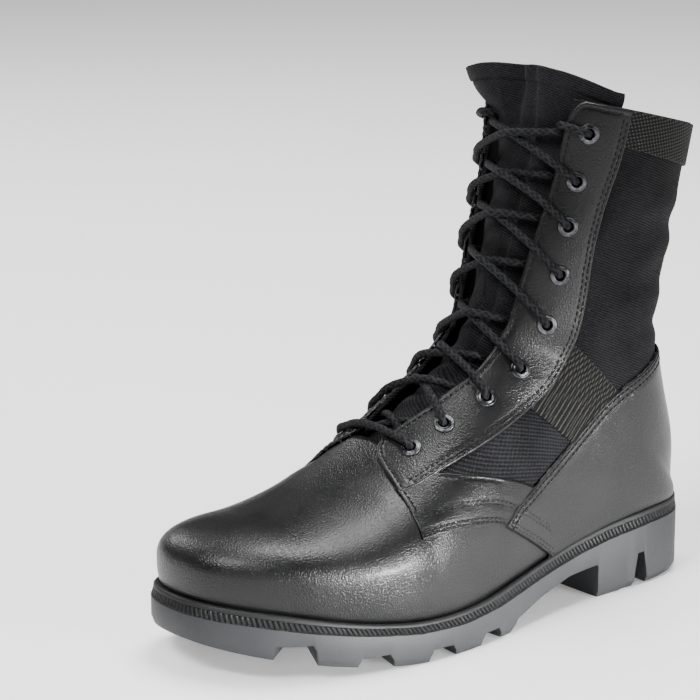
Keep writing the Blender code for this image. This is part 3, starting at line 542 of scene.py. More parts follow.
def crossing(outline, side):
    """The distance from the ridge at which each section crosses a line drawn on the side."""
    rows, lengths, points, _ = FIELD[side]
    step = np.diff(outline, axis=0)
    found = np.full(len(rows), np.nan)
    for i in range(len(rows)):
        line = points[i][:, 1:3]
        gap = line[:, None, :] - outline[None, :-1, :]
        share = np.clip((gap * step[None]).sum(axis=2) / (step**2).sum(axis=1)[None], 0, 1)
        away = np.sqrt(((gap - share[..., None] * step[None]) ** 2).sum(axis=2))
        which = away.argmin(axis=1)
        near = gap[np.arange(len(line)), which]
        turn = step[which, 0] * near[:, 1] - step[which, 1] * near[:, 0]
        change = [j for j in np.where((turn[:-1] > 0) != (turn[1:] > 0))[0] if away[j, which[j]] < 0.003]
        if change:
            j = change[0]
            part = turn[j] / (turn[j] - turn[j + 1])
            found[i] = (j + part) / (SHARES - 1) * lengths[i]
    good = ~np.isnan(found)
    return functools.partial(np.interp, xp=rows[good], fp=found[good]), rows[good][-1]


REAR = {side: crossing(side_line(STAY_REAR), side)[0] for side in (1, -1)}
BAND_LOW = {side: crossing(side_line(BAND_FOOT), side)[0] for side in (1, -1)}
BAND_HIGH = {side: crossing(side_line(BAND_TOP), side)[0] for side in (1, -1)}
COUNTER_HIGH = {side: crossing(side_line(COUNTER_TOP), side) for side in (1, -1)}


def collar_foot_row(share, side):
    """The section in which the collar webbing's lower edge lies, at a share of the distance."""
    outline = side_line(COLLAR_FOOT)
    order = np.argsort(outline[:, 0])
    rows = np.arange(19.5, TOP_ROW, 0.02)
    p, _ = on_side(rows, share * total_length(rows, side), side)
    above = p[:, 2] - np.interp(p[:, 1], outline[order, 0], outline[order, 1])
    return float(np.interp(0, above, rows))


def side_tree(side):
    """A tree of the last's points as they are seen from that side."""
    return tree_of(FIELD[side][2].reshape(-1, 3) * (0.0, 1.0, 1.0))


def place_from_side(y, z, side, tree):
    """Section and distance of the point that is seen at y, z from that side."""
    rows, lengths, _, _ = FIELD[side]
    i, j = divmod(tree.find((0.0, y, z))[1], SHARES)
    r, a = rows[i], j / (SHARES - 1) * lengths[i]
    for _ in range(3):
        p = on_side(r, a, side)[0]
        pr = (on_side(min(r + 0.05, TOP_ROW), a, side)[0] - p) / 0.05
        pa = (on_side(r, a + 0.0005, side)[0] - p) / 0.0005
        turn = np.array([[pr[1], pa[1]], [pr[2], pa[2]]])
        step = np.linalg.lstsq(turn, np.array([y - p[1], z - p[2]]), rcond=None)[0]
        r, a = r + np.clip(step[0], -0.2, 0.2), a + np.clip(step[1], -0.004, 0.004)
    return r, a


def resampled(r, a, spacing):
    """A line on the last with its points a set distance apart."""
    p, _ = on_last(r, a)
    run = run_along(p)
    marks = np.linspace(0, run[-1], max(2, int(run[-1] / spacing) + 1))
    return np.interp(marks, run, r), np.interp(marks, run, a)


def moved_line(r, a, shift):
    """A line on the last moved to its own left, seen from outside, by shift metres."""
    r, a = resampled(np.asarray(r, float), np.asarray(a, float), 0.0015)
    steps = max(1, int(abs(shift) / 0.0015))
    for _ in range(steps):
        p, n = on_last(r, a)
        along = unit(np.gradient(p, axis=0))
        want = np.cross(n, along) * shift / steps
        low, high = np.clip(r - 0.03, 0, TOP_ROW), np.clip(r + 0.03, 0, TOP_ROW)
        pr = (on_last(high, a)[0] - on_last(low, a)[0]) / (high - low)[:, None]
        pa = (on_last(r, a + 0.0008)[0] - on_last(r, a - 0.0008)[0]) / 0.0016
        rr, ra, aa = (pr * pr).sum(1), (pr * pa).sum(1), (pa * pa).sum(1)
        wr, wa = (want * pr).sum(1), (want * pa).sum(1)
        det = np.maximum(rr * aa - ra * ra, 1e-12)
        r = np.clip(r + (wr * aa - wa * ra) / det, 0, TOP_ROW)
        a = a + (wa * rr - wr * ra) / det
    return r, a


def inwards(r, a, shift, aim):
    """The line moved by shift towards the side on which the point aim lies."""
    moved = moved_line(r, a, shift)
    other = moved_line(r, a, -shift)
    target, _ = on_last(*aim)
    away = [np.linalg.norm(on_last(*line)[0] - target, axis=1).mean() for line in (moved, other)]
    return moved if away[0] < away[1] else other


def clipped(line, low, high):
    keep = (line[0] > low) & (line[0] < high)
    return line[0][keep], line[1][keep]


# Meshes


def new_mesh(name, points, faces, shades, indices=None, uv=None, smooth=True):
    mesh = bpy.data.meshes.new(name)
    mesh.from_pydata(np.asarray(points, float).tolist(), [], faces)
    if uv is not None:
        layer = mesh.uv_layers.new(name="UVMap")
        loops = np.empty(len(mesh.loops), np.int32)
        mesh.loops.foreach_get("vertex_index", loops)
        layer.data.foreach_set("uv", np.asarray(uv, np.float32)[loops].ravel())
    for shade in shades:
        mesh.materials.append(shade)
    if indices is not None:
        mesh.polygons.foreach_set("material_index", np.asarray(indices, np.int32))
    mesh.polygons.foreach_set("use_smooth", np.full(len(mesh.polygons), smooth))
    mesh.update()
    obj = bpy.data.objects.new(name, mesh)
    bpy.context.scene.collection.objects.link(obj)
    return obj


def carry(obj, slot, *nodes):
    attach(obj, "root")
    if nodes:
        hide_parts(*nodes)
    return obj


def weld_and_face(obj, distance=1e-6, outwards=False):
    """Welds double points and turns the faces outwards, of an open skin from the boot's middle."""
    edit = bmesh.new()
    edit.from_mesh(obj.data)
    bmesh.ops.remove_doubles(edit, verts=edit.verts, dist=distance)
    bmesh.ops.recalc_face_normals(edit, faces=edit.faces)
    if outwards:
        middle = Vector((0.0, HEEL_CENTRE - 0.12, 0.05))
        if sum(f.calc_area() * f.normal.dot(f.calc_center_median() - middle) for f in edit.faces) < 0:
            bmesh.ops.reverse_faces(edit, faces=edit.faces)
    edit.to_mesh(obj.data)
    edit.free()
    return obj


def joined(name, objects):
    """One object from several, with the points that meet welded."""
    edit = bmesh.new()
    for obj in objects:
        edit.from_mesh(obj.data)
    bmesh.ops.remove_doubles(edit, verts=edit.verts, dist=2e-5)
    first = objects[0]
    edit.to_mesh(first.data)
    edit.free()
    for obj in objects[1:]:
        bpy.data.objects.remove(obj, do_unlink=True)
    first.name = name
    first.data.name = name
    return first


def grid_faces(rows, columns, skip=None, flip=False):
    faces = []
    for i in range(rows - 1):
        for j in range(columns - 1):
            if skip is not None and skip[i, j]:
                continue
            a = i * columns + j
            face = [a, a + columns, a + columns + 1, a + 1]
            faces.append(face[::-1] if flip else face)
    return faces


def tube_faces(rings, size, closed=False):
    """Faces between rings of size points, and from the last ring to the first if closed."""
    return [[i * size + j, i * size + (j + 1) % size, (i + 1) % rings * size + (j + 1) % size,
             (i + 1) % rings * size + j]
            for i in range(rings if closed else rings - 1) for j in range(size)]


def nearest(lines, spacing=0.0004):
    """A tree of points along lines given as section and signed distance."""
    points = np.concatenate([on_last(*resampled(np.asarray(r, float), np.asarray(a, float), spacing))[0]
                             for r, a in lines])
    return tree_of(points)


def distances(tree, points):
    return np.array([tree.find(p)[2] for p in points.reshape(-1, 3)]).reshape(points.shape[:-1])


def eyelet_places():
    """Centre and outward normal of each eyelet."""
    return [on_last(r, signed) for r, lateral, medial in EYELETS for signed in (lateral, -medial)]


def punched(points, faces, radius):
    """Takes the faces over each eyelet out of a skin and rounds the hole that is left."""
    corners = [np.array(f) for f in faces]
    drop = np.zeros(len(faces), bool)
    for place, axis in eyelet_places():
        gap = points - place
        height = gap @ axis
        flat = gap - height[:, None] * axis
        away = np.linalg.norm(flat, axis=1)
        close = (away < radius) & (np.abs(height) < 0.004)
        if not close.any():
            continue
        drop |= np.array([close[face].all() for face in corners])
        out = np.where(close)[0]
        points[out] += flat[out] / np.maximum(away[out], 1e-6)[:, None] * (radius - away[out])[:, None]
    return points, [f for k, f in enumerate(faces) if not drop[k]], drop


EDGE_MARKS = [0.0, 0.00003, 0.0002, 0.0005, 0.0009, 0.0015, 0.0021, 0.0027, 0.0034, 0.0042, 0.0052, 0.0063]


def spread(length, near, step):
    """Marks from 0 to 1 along a length, close together at both ends."""
    ends = [m for m in near if m < length / 2]
    inner = max(1, int((length - 2 * ends[-1]) / step))
    middle = list(np.linspace(ends[-1], length - ends[-1], inner + 1))[1:-1]
    return np.array(ends + middle + [length - m for m in ends[::-1]]) / length


def sewn_sheet(name, r, a, borders, thickness, shade, stitches=(), round_edge=0.0010, holes=False):
    """A piece of leather or webbing that lies on the upper, its edges rounded down to it."""
    base, normals = on_last(r, a)
    edge = distances(nearest(borders), base)
    share = np.clip(edge / round_edge, 0, 1)
    lift = OVERLAY_GAP + thickness * np.sqrt(1 - (1 - share) ** 2)
    if stitches:
        lift = lift - 0.00035 * bell(distances(nearest(stitches), base), 0, 0.0008)
    lift = np.where(edge < 2e-5, -0.0005, lift)
    points = base + normals * lift[..., None]
    one, two = points[1:, 1:] - points[:-1, :-1], points[:-1, 1:] - points[1:, :-1]
    flip = (np.cross(one, two) * normals[:-1, :-1]).sum() < 0
    run = np.cumsum(np.linalg.norm(np.diff(base, axis=0, prepend=base[:1]), axis=2), axis=0)
    uv = np.stack([a, run], axis=-1).reshape(-1, 2)
    points = points.reshape(-1, 3)
    faces = grid_faces(*r.shape, flip=flip)
    if holes:
        points, faces, _ = punched(points, faces, STAY_HOLE)
    return new_mesh(name, points, faces, [shade], uv=uv)


# Materials


class Nodes:
    """Short names for the nodes of one material."""

    def __init__(self, name):
        self.material = bpy.data.materials.new(name)
        self.material.use_nodes = True
        self.tree = self.material.node_tree
        self.shader = self.tree.nodes["Principled BSDF"]

    def add(self, kind, inputs=None, **settings):
        node = self.tree.nodes.new(kind)
        for key, value in settings.items():
            setattr(node, key, value)
        for key, value in (inputs or {}).items():
            if isinstance(value, bpy.types.NodeSocket):
                self.tree.links.new(value, node.inputs[key])
            else:
                node.inputs[key].default_value = value
        return node

    def math(self, operation, first, second=0.0, third=0.0):
        return self.add("ShaderNodeMath", {0: first, 1: second, 2: third}, operation=operation).outputs[0]

    def wave(self, value, pitch):
        """A sine of a length, from -1 to 1."""
        return self.math("SINE", self.math("MULTIPLY", value, 2 * math.pi / pitch))

    def place(self, kind="Object"):
        return self.add("ShaderNodeTexCoord").outputs[kind]

    def noise(self, where, scale, detail=2.0, rough=0.5):
        return self.add("ShaderNodeTexNoise", {"Vector": where, "Scale": scale, "Detail": detail,
                                               "Roughness": rough}).outputs["Fac"]

    def cells(self, where, scale, feature="F1"):
        node = self.add("ShaderNodeTexVoronoi", {"Vector": where, "Scale": scale}, feature=feature)
        return node.outputs["Distance"]

    def range(self, value, low, high, to_low, to_high):
        return self.add("ShaderNodeMapRange", {0: value, 1: low, 2: high, 3: to_low, 4: to_high}).outputs[0]

    def blend(self, share, first, second):
        node = self.add("ShaderNodeMix", data_type="RGBA")
        self.tree.links.new(share, node.inputs[0])
        node.inputs[6].default_value = (*first, 1.0)
        node.inputs[7].default_value = (*second, 1.0)
        return node.outputs[2]

    def bump(self, height, distance, strength=1.0, normal=None):
        inputs = {"Height": height, "Distance": distance, "Strength": strength}
        if normal is not None:
            inputs["Normal"] = normal
        return self.add("ShaderNodeBump", inputs).outputs[0]

    def link(self, socket, name):
        self.tree.links.new(socket, self.shader.inputs[name])

    def set(self, **values):
        for name, value in values.items():
            self.shader.inputs[name.replace("_", " ")].default_value = value


def times(colour, factor):
    return tuple(min(c * factor, 1.0) for c in colour)


def once(builder):
    """A material builder that makes its material only once."""
    made = {}

    @functools.wraps(builder)
    def get():
        if not made:
            made[0] = builder()
        return made[0]

    return get


@once
def smooth_leather():
    n = Nodes("smooth_leather")
    base = tuple(colours().leather)
    where = n.place()
    grain = n.cells(where, 750.0, "DISTANCE_TO_EDGE")
    pores = n.noise(where, 900.0, 3.0, 0.6)
    cloud = n.noise(where, 38.0, 3.0, 0.55)
    height = n.math("MULTIPLY_ADD", grain, 0.7, n.math("MULTIPLY", pores, 0.35))
    soft = n.bump(cloud, 0.0006, 0.35)
    n.link(n.bump(height, 0.00042, 0.8, soft), "Normal")
    n.link(n.blend(n.range(cloud, 0.35, 0.7, 0, 1), times(base, 0.7), times(base, 1.6)), "Base Color")
    n.link(n.range(n.math("ADD", cloud, n.math("MULTIPLY", pores, 0.25)), 0.4, 0.85, 0.29, 0.42), "Roughness")
    n.set(Coat_Weight=0.06, Coat_Roughness=0.20, Specular_IOR_Level=0.30)
    return n.material


@once
def canvas():
    n = Nodes("canvas")
    base = tuple(colours().canvas)
    where = n.place()
    split = n.add("ShaderNodeSeparateXYZ", {0: where})
    flat = n.add("ShaderNodeSeparateXYZ", {0: n.place("UV")})
    ribs = n.wave(n.math("MULTIPLY_ADD", flat.outputs[0], 0.35, split.outputs[2]), 0.0012)
    threads = n.wave(flat.outputs[0], 0.0013)
    weave = n.math("MULTIPLY_ADD", ribs, 0.6, n.math("MULTIPLY", n.math("MULTIPLY", ribs, threads), 0.5))
    fuzz = n.noise(where, 1000.0, 3.0, 0.7)
    cloud = n.noise(where, 30.0, 3.0)
    height = n.math("ADD", n.math("MULTIPLY", weave, 0.5), n.math("MULTIPLY", fuzz, 0.7))
    n.link(n.bump(height, 0.00028, 0.9), "Normal")
    worn = n.math("ADD", n.math("MULTIPLY", cloud, 0.7), fuzz)
    tone = n.range(n.math("ADD", n.math("MULTIPLY", weave, 0.3), worn), 0.62, 1.35, 0, 1)
    n.link(n.blend(tone, times(base, 0.10), times(base, 3.0)), "Base Color")
    n.set(Roughness=0.92, Specular_IOR_Level=0.12, Sheen_Weight=0.02, Sheen_Roughness=0.5)
    return n.material


@once
def nylon_webbing():
    n = Nodes("nylon_webbing")
    base = tuple(colours().webbing)
    where = n.place()
    flat = n.add("ShaderNodeSeparateXYZ", {0: n.place("UV")})
    u, v = flat.outputs[0], flat.outputs[1]
    one = n.wave(n.math("ADD", u, n.math("MULTIPLY", v, 0.55)), 0.0023)
    two = n.wave(n.math("SUBTRACT", v, n.math("MULTIPLY", u, 0.35)), 0.0018)
    weave = n.math("MULTIPLY_ADD", one, 0.5, n.math("MULTIPLY", two, 0.5))
    fuzz = n.noise(where, 1500.0, 3.0, 0.7)
    height = n.math("MULTIPLY_ADD", weave, 0.6, n.math("MULTIPLY", fuzz, 1.1))
    n.link(n.bump(height, 0.00055, 1.0), "Normal")
    tone = n.range(n.math("MULTIPLY_ADD", weave, 0.8, fuzz), 0.55, 1.25, 0, 1)
    n.link(n.blend(tone, times(base, 0.08), times(base, 3.2)), "Base Color")
    n.set(Roughness=0.80, Specular_IOR_Level=0.18, Sheen_Weight=0.02)
    return n.material


# share scales the rubber's colour: 1 for the sole, 0.22 for the rand, where the darkening is partly painted
# shade
def moulded_rubber(name, share):
    n = Nodes(name)
    base = times(tuple(colours().rubber), share)
    where = n.place()
    dust = n.noise(where, 24.0, 4.0, 0.6)
    fine = n.noise(where, 1400.0, 3.0, 0.6)
    n.link(n.bump(n.math("MULTIPLY_ADD", dust, 0.5, fine), 0.00018, 0.5), "Normal")
    n.link(n.blend(n.range(dust, 0.3, 0.75, 0, 1), times(base, 0.75), times(base, 1.3)), "Base Color")
    n.link(n.range(fine, 0.3, 0.7, 0.48, 0.66), "Roughness")
    n.set(Specular_IOR_Level=0.35)
    return n.material


@once
def sole_rubber():
    return moulded_rubber("sole_rubber", 1.0)


# The rand is the sole's rubber at 0.22 of its colour: partly its own near-black colour, partly painted shade
# of the lip under the upper
@once
def rand_rubber_painted_shade():
    return moulded_rubber("rand_rubber_painted_shade", 0.22)


@once
def eyelet_metal():
    n = Nodes("eyelet_metal")
    base = tuple(colours().metal)
    where = n.place()
    worn = n.noise(where, 420.0, 3.0, 0.6)
    n.link(n.blend(n.range(worn, 0.4, 0.65, 0, 1), times(base, 0.55), times(base, 1.7)), "Base Color")
    n.link(n.range(worn, 0.3, 0.7, 0.24, 0.42), "Roughness")
    n.link(n.bump(worn, 0.0001, 0.3), "Normal")
    n.set(Metallic=1.0)
    return n.material


@once
def lace_painted_highlights():
    n = Nodes("lace_cord")
    base = tuple(colours().lace)
    flat = n.add("ShaderNodeSeparateXYZ", {0: n.place("UV")})
    fibre = n.noise(n.place(), 2600.0, 2.0, 0.6)
    # The braid's level from the UV paints the raised strands up to ten times lighter and the hollows darker:
    # painted highlights and painted shade on a black lace
    tone = n.range(n.math("MULTIPLY_ADD", fibre, 0.4, flat.outputs[0]), 0.6, 1.15, 0, 1)
    n.link(n.blend(tone, times(base, 0.3), times(base, 10.0)), "Base Color")
    n.link(n.bump(fibre, 0.0002, 0.7), "Normal")
    n.set(Roughness=0.70, Specular_IOR_Level=0.12)
    return n.material


@once
def sewing_thread():
    n = Nodes("sewing_thread")
    base = tuple(colours().thread)
    twist = n.noise(n.place(), 2200.0, 1.0)
    n.link(n.blend(n.range(twist, 0.35, 0.65, 0, 1), times(base, 0.7), times(base, 1.8)), "Base Color")
    n.link(n.bump(twist, 0.0002, 0.6), "Normal")
    n.set(Roughness=0.6, Specular_IOR_Level=0.3)
    return n.material


@once
def insole_board():
    n = Nodes("insole_board")
    fuzz = n.noise(n.place(), 900.0, 4.0, 0.7)
    n.link(n.blend(n.range(fuzz, 0.3, 0.7, 0, 1), (0.012, 0.012, 0.013), (0.030, 0.029, 0.028)), "Base Color")
    n.link(n.bump(fuzz, 0.0004, 0.7), "Normal")
    n.set(Roughness=0.93)
    return n.material


@once
def studio_floor():
    n = Nodes("studio_floor")
    base = tuple(colours().floor)
    n.link(n.blend(n.noise(n.place(), 3.0, 2.0), times(base, 0.985), base), "Base Color")
    n.set(Roughness=0.75, Specular_IOR_Level=0.2, Emission_Strength=0.22)
    return n.material


# Upper


def dress_upper():
    rows = np.arange(0, TOP_ROW + 1e-6, 0.1)
    outer = spread(0.13, [0.0, 0.0008, 0.0018, 0.003], 0.0019)
    inner = np.linspace(0, 1, 9)[:-1]
    halves = {}
    for side in (-1, 1):
        total = total_length(rows, side)
        edge = np.where(rows < 4, np.minimum(throat_edge(rows, side), total * 0.1), throat_edge(rows, side))
        below = edge[:, None] + (total - edge)[:, None] * outer
        halves[side] = np.concatenate([edge[:, None] * inner, below], axis=1)
    a = np.concatenate([-halves[-1][:, :0:-1], halves[1]], axis=1)
    r = np.broadcast_to(rows[:, None], a.shape)
    points, _ = on_last(r, a)
    half = len(inner) + len(outer) - 1
    place = np.abs(np.arange(a.shape[1]) - half)
    skip = (rows[:-1, None] >= THROAT_BASE - 1e-6) & (np.minimum(place[:-1], place[1:])[None] < len(inner))
    faces = grid_faces(*a.shape, skip=skip)
    middle_r, middle_a = r[:-1, :-1] + 0.05, (a[:-1, :-1] + a[1:, 1:]) / 2
    leather = middle_r < THROAT_BASE + 0.05
    for side in (-1, 1):
        line = np.where(middle_r < 9.6, (BAND_HIGH[side](middle_r) + BAND_LOW[side](middle_r)) / 2,
                        COUNTER_HIGH[side][0](middle_r) + 0.006)
        leather |= (middle_a * side > line) & (middle_r < COUNTER_HIGH[side][1])
    index = np.where(leather, 0, 1)[~skip]
    flat, faces, drop = punched(points.reshape(-1, 3).copy(), faces, CANVAS_HOLE)
    strip = points[:, half + 40]
    run = np.cumsum(np.linalg.norm(np.diff(strip, axis=0, prepend=strip[:1]), axis=1))
    uv = np.stack([a, np.broadcast_to(run[:, None], a.shape)], axis=-1).reshape(-1, 2)
    upper = new_mesh("dressed_upper", flat, faces, [smooth_leather(), canvas()], index[~drop], uv)
    weld_and_face(upper, outwards=True)
    wall = upper.modifiers.new("Wall", "SOLIDIFY")
    wall.thickness = WALL
    wall.offset = -1.0
    wall.use_rim = True
    return carry(upper, "canvas", "upper")


# Overlays


def side_name(side):
    return "lateral" if side > 0 else "medial"


def stay_limits(side):
    """Rows of an eyestay with its inner and outer distance from the ridge."""
    rows = np.concatenate([np.linspace(STAY_FOOT, 7.3, 46)[:-1], np.arange(7.3, 22.0, 0.085),
                           np.linspace(22.0, STAY_TOP, 26)])
    rows = np.unique(np.concatenate([rows, STAY_TOP - np.array([0.0025, 0.015, 0.035, 0.065, 0.11, 0.155])]))
    key = 1 if side > 0 else 2
    front = [(row[key], row[0]) for row in FRONT_EDGE][::-1]
    inner = np.where(rows < 7.15, np.interp(rows, [f[0] for f in front], [f[1] for f in front]),
                     throat_edge(rows, side))
    corner = np.clip((rows - 21.95) / 1.035, 0, 1)
    inner = inner + 0.0065 * (1 - np.sqrt(np.maximum(1 - corner**2.4, 0)))
    outer = np.maximum(REAR[side](rows), inner + 0.0004 + 0.004 * np.clip((rows - STAY_FOOT) / 0.2, 0, 1))
    return rows, inner, outer


def stay_stitches(side):
    """Single row by the throat and the top, double row by the rear edge."""
    rows, inner, outer = stay_limits(side)
    middle = (16.0, (inner + outer)[len(rows) // 2] / 2 * side)
    throat = clipped(inwards(rows, inner * side, 0.0026, middle), 6.42, 22.80)
    rear = [clipped(inwards(rows, outer * side, shift, middle), 6.62, 22.80) for shift in (0.0020, 0.0042)]
    top = (np.full(24, 22.80), np.linspace(throat[1][-1], rear[0][1][-1], 24))
    return [throat, *rear, top]


def eyestay(side):
    rows, inner, outer = stay_limits(side)
    a = (inner[:, None] + (outer - inner)[:, None] * spread(0.031, EDGE_MARKS, 0.0016)) * side
    r = np.broadcast_to(rows[:, None], a.shape)
    top = (np.full(40, rows[-1]), np.linspace(inner[-1], outer[-1], 40) * side)
    borders = [(rows, inner * side), (rows, outer * side), top]
    stay = sewn_sheet("dressed_eyestay_" + side_name(side), r, a, borders, LEATHER, smooth_leather(),
                      stay_stitches(side), holes=True)
    return carry(stay, "smooth_leather", "eyestay_" + side_name(side))


def band_grid(side):
    key = 1 if side > 0 else 2
    marks = spread(0.026, EDGE_MARKS, 0.0015)
    along = spread(0.085, EDGE_MARKS[:8], 0.0017)
    at_top, at_foot = column(FRONT_EDGE, [0.040, 0.070], key)
    front = at_top + (at_foot - at_top) * marks
    r = front[None, :] * (1 - along[:, None]) + 9.75 * along[:, None]
    top = np.maximum(BAND_HIGH[side](r), REAR[side](r) - 0.004)
    foot = np.minimum(BAND_LOW[side](r), total_length(r, side) - 0.0004)
    top = np.minimum(top, foot - 0.002)
    return r, (top + (foot - top) * marks[None, :]) * side


def band_stitches(side):
    r, a = band_grid(side)
    middle = (8.0, a[len(a) // 2, a.shape[1] // 2])
    foot = [clipped(inwards(r[:, -1], a[:, -1], shift, middle), 6.24, 9.7)
            for shift in (0.0018, 0.0036, 0.0098, 0.0118)]
    top = clipped(inwards(r[:, 0], a[:, 0], 0.0020, middle), 7.25, 8.75)
    front = inwards(r[0], a[0], 0.0028, middle)
    keep = (np.abs(front[1]) > abs(a[0, 0]) + 0.004) & (np.abs(front[1]) < abs(foot[3][1][0]))
    return [*foot, top, (front[0][keep], front[1][keep])]


def quarter_band(side):
    r, a = band_grid(side)
    borders = [(r[:, 0], a[:, 0]), (r[:, -1], a[:, -1]), (r[0], a[0])]
    band = sewn_sheet("dressed_quarter_band_" + side_name(side), r, a, borders, BAND, smooth_leather(),
                      [line for line in band_stitches(side) if len(line[0]) > 1])
    return carry(band, "smooth_leather", "quarter_band_" + side_name(side))


COUNTER_START = 8.50
COUNTER_CORNER = 8.95


def counter_rows(side):
    end = COUNTER_HIGH[side][1]
    rows = np.concatenate([np.arange(COUNTER_START, COUNTER_CORNER, 0.025),
                           np.arange(COUNTER_CORNER, end, 0.075), [end]])
    front = BAND_LOW[side](COUNTER_START) - 0.0003
    corner = COUNTER_HIGH[side][0](COUNTER_CORNER)
    share = (rows - COUNTER_START) / (COUNTER_CORNER - COUNTER_START)
    return rows, np.where(share < 1, front + (corner - front) * share, COUNTER_HIGH[side][0](rows))


def counter_stitches(side):
    rows, high = counter_rows(side)
    middle = (12.0, 0.12 * side)
    lines = [inwards(rows, high * side, shift, middle) for shift in (0.0022, 0.0050)]
    return [clipped(line, COUNTER_START + 0.12, COUNTER_HIGH[side][1] - 0.05) for line in lines]


def heel_counter():
    objects, borders, grids = [], [], []
    for side in (1, -1):
        rows, high = counter_rows(side)
        total = total_length(rows, side)
        low = np.where(rows < 9.6, np.minimum(total - 0.0002, BAND_LOW[side](rows)), total)
        high = np.minimum(high, low - 0.0003)
        marks = np.concatenate([np.array(EDGE_MARKS) / 0.07, np.linspace(0.11, 1, 34)])
        grids.append((np.broadcast_to(rows[:, None], (len(rows), len(marks))),
                      (high[:, None] + (low - high)[:, None] * marks) * side))
        front = rows < 9.62
        borders += [(rows, high * side), (rows[front], low[front] * side),
                    (np.full(20, rows[0]), np.linspace(high[0], low[0], 20) * side)]
    for k, (r, a) in enumerate(grids):
        objects.append(sewn_sheet(f"counter_half_{k}", r, a, borders, LEATHER, smooth_leather(),
                                  counter_stitches(1 - 2 * k)))
    return carry(joined("dressed_heel_counter", objects), "smooth_leather", "heel_counter")


def ankle_webbing(side):
    tree = side_tree(side)
    corners = np.array([(HEEL_CENTRE - s * SOLE_LENGTH, z * SHAFT_HEIGHT) for s, z in WEBBING_BOX])
    along = spread(0.044, EDGE_MARKS[:6], 0.0013) * 1.30 - 0.15
    across = spread(0.036, EDGE_MARKS[:6], 0.0013)
    places = np.empty((len(along), len(across), 2))
    for i, s in enumerate(along):
        for j, t in enumerate(across):
            upper_edge = corners[0] * (1 - t) + corners[1] * t
            lower_edge = corners[3] * (1 - t) + corners[2] * t
            y, z = upper_edge * (1 - s) + lower_edge * s
            places[i, j] = place_from_side(y, z, side, tree)
    r, a = places[..., 0], places[..., 1] * side
    borders = [(r[:, 0], a[:, 0]), (r[:, -1], a[:, -1])]
    webbing = sewn_sheet("dressed_ankle_webbing_" + side_name(side), r, a, borders, 0.0010,
                         nylon_webbing(), round_edge=0.0008)
    return carry(webbing, "nylon_webbing", "ankle_webbing_" + side_name(side))


def collar_webbing():
    grids = []
    heights = spread(0.026, EDGE_MARKS[:6], 0.0014)
    for side in (1, -1):
        first = (REAR[side](22.2) - 0.006) / total_length(22.2, side)
        part = first + (1 - first) * np.linspace(0, 1, 74)
        low = np.array([collar_foot_row(s, side) for s in part])
        r = low[None, :] + (TOP_ROW - 0.02 - low)[None, :] * heights[:, None]
        grids.append((r, part[None, :] * total_length(r, side) * side))
    borders = [(r[end], a[end]) for r, a in grids for end in (0, -1)]
    objects = [sewn_sheet(f"collar_half_{k}", r, a, borders, WEBBING, nylon_webbing(), round_edge=0.0008)
               for k, (r, a) in enumerate(grids)]
    return carry(joined("dressed_collar_webbing", objects), "nylon_webbing", "collar_webbing")


# Stitching


class Stitches:
    """Collects short threads into one mesh."""

    def __init__(self):
        self.points, self.faces = [], []

    def one(self, middle, along, out, length, width):
        across = np.cross(out, along)
        base = len(self.points)
        self.points.append(middle - along * length * 0.5 - out * 0.0003)
        for place, rise in ((-0.36, 0.0001), (0.0, 0.00028), (0.36, 0.0001)):
            for k in range(6):
                angle = math.pi / 3 * k
                self.points.append(middle + along * length * place + across * math.cos(angle) * width / 2
                                   + out * (math.sin(angle) * width * 0.42 + rise))
        self.points.append(middle + along * length * 0.5 - out * 0.0003)
        for k in range(6):
            n = (k + 1) % 6
            self.faces.append([base, base + 1 + n, base + 1 + k])
            for first in (base + 1, base + 7):
                self.faces.append([first + k, first + n, first + 6 + n, first + 6 + k])
            self.faces.append([base + 19, base + 13 + k, base + 13 + n])

    def row(self, line, lift):
        r, a = line
        if len(r) < 2:
            return
        p, n = on_last(r, a, lift)
        run = run_along(p)
        pitch = sizes().stitch_pitch
        for mark in np.arange(pitch * 0.5, run[-1] - pitch * 0.4, pitch):
            ends = [read_line(mark + shift, run, p) for shift in (-pitch * 0.3, pitch * 0.3)]
            out = unit(read_line(mark, run, n))
            along = unit(ends[1] - ends[0])
            along = unit(along + np.cross(out, along) * 0.10)
            self.one((ends[0] + ends[1]) / 2, along, out, sizes().stitch_length, sizes().thread_width)


def stitching():
    sewn = Stitches()
    top = OVERLAY_GAP + LEATHER - THREAD_SINK
    for side in (1, -1):
        for line in stay_stitches(side) + counter_stitches(side):
            sewn.row(line, top)
        for line in band_stitches(side):
            on_counter = np.abs(line[1]) > np.interp(line[0], *counter_rows(side)) + 0.001
            on_counter &= line[0] > COUNTER_START
            for keep, lift in ((~on_counter, OVERLAY_GAP + BAND - THREAD_SINK), (on_counter, top)):
                sewn.row((line[0][keep], line[1][keep]), lift)
    thread = new_mesh("stitching", np.array(sewn.points), sewn.faces, [sewing_thread()])
    weld_and_face(thread, 1e-8)
    return carry(thread, "smooth_leather")


# Tongue


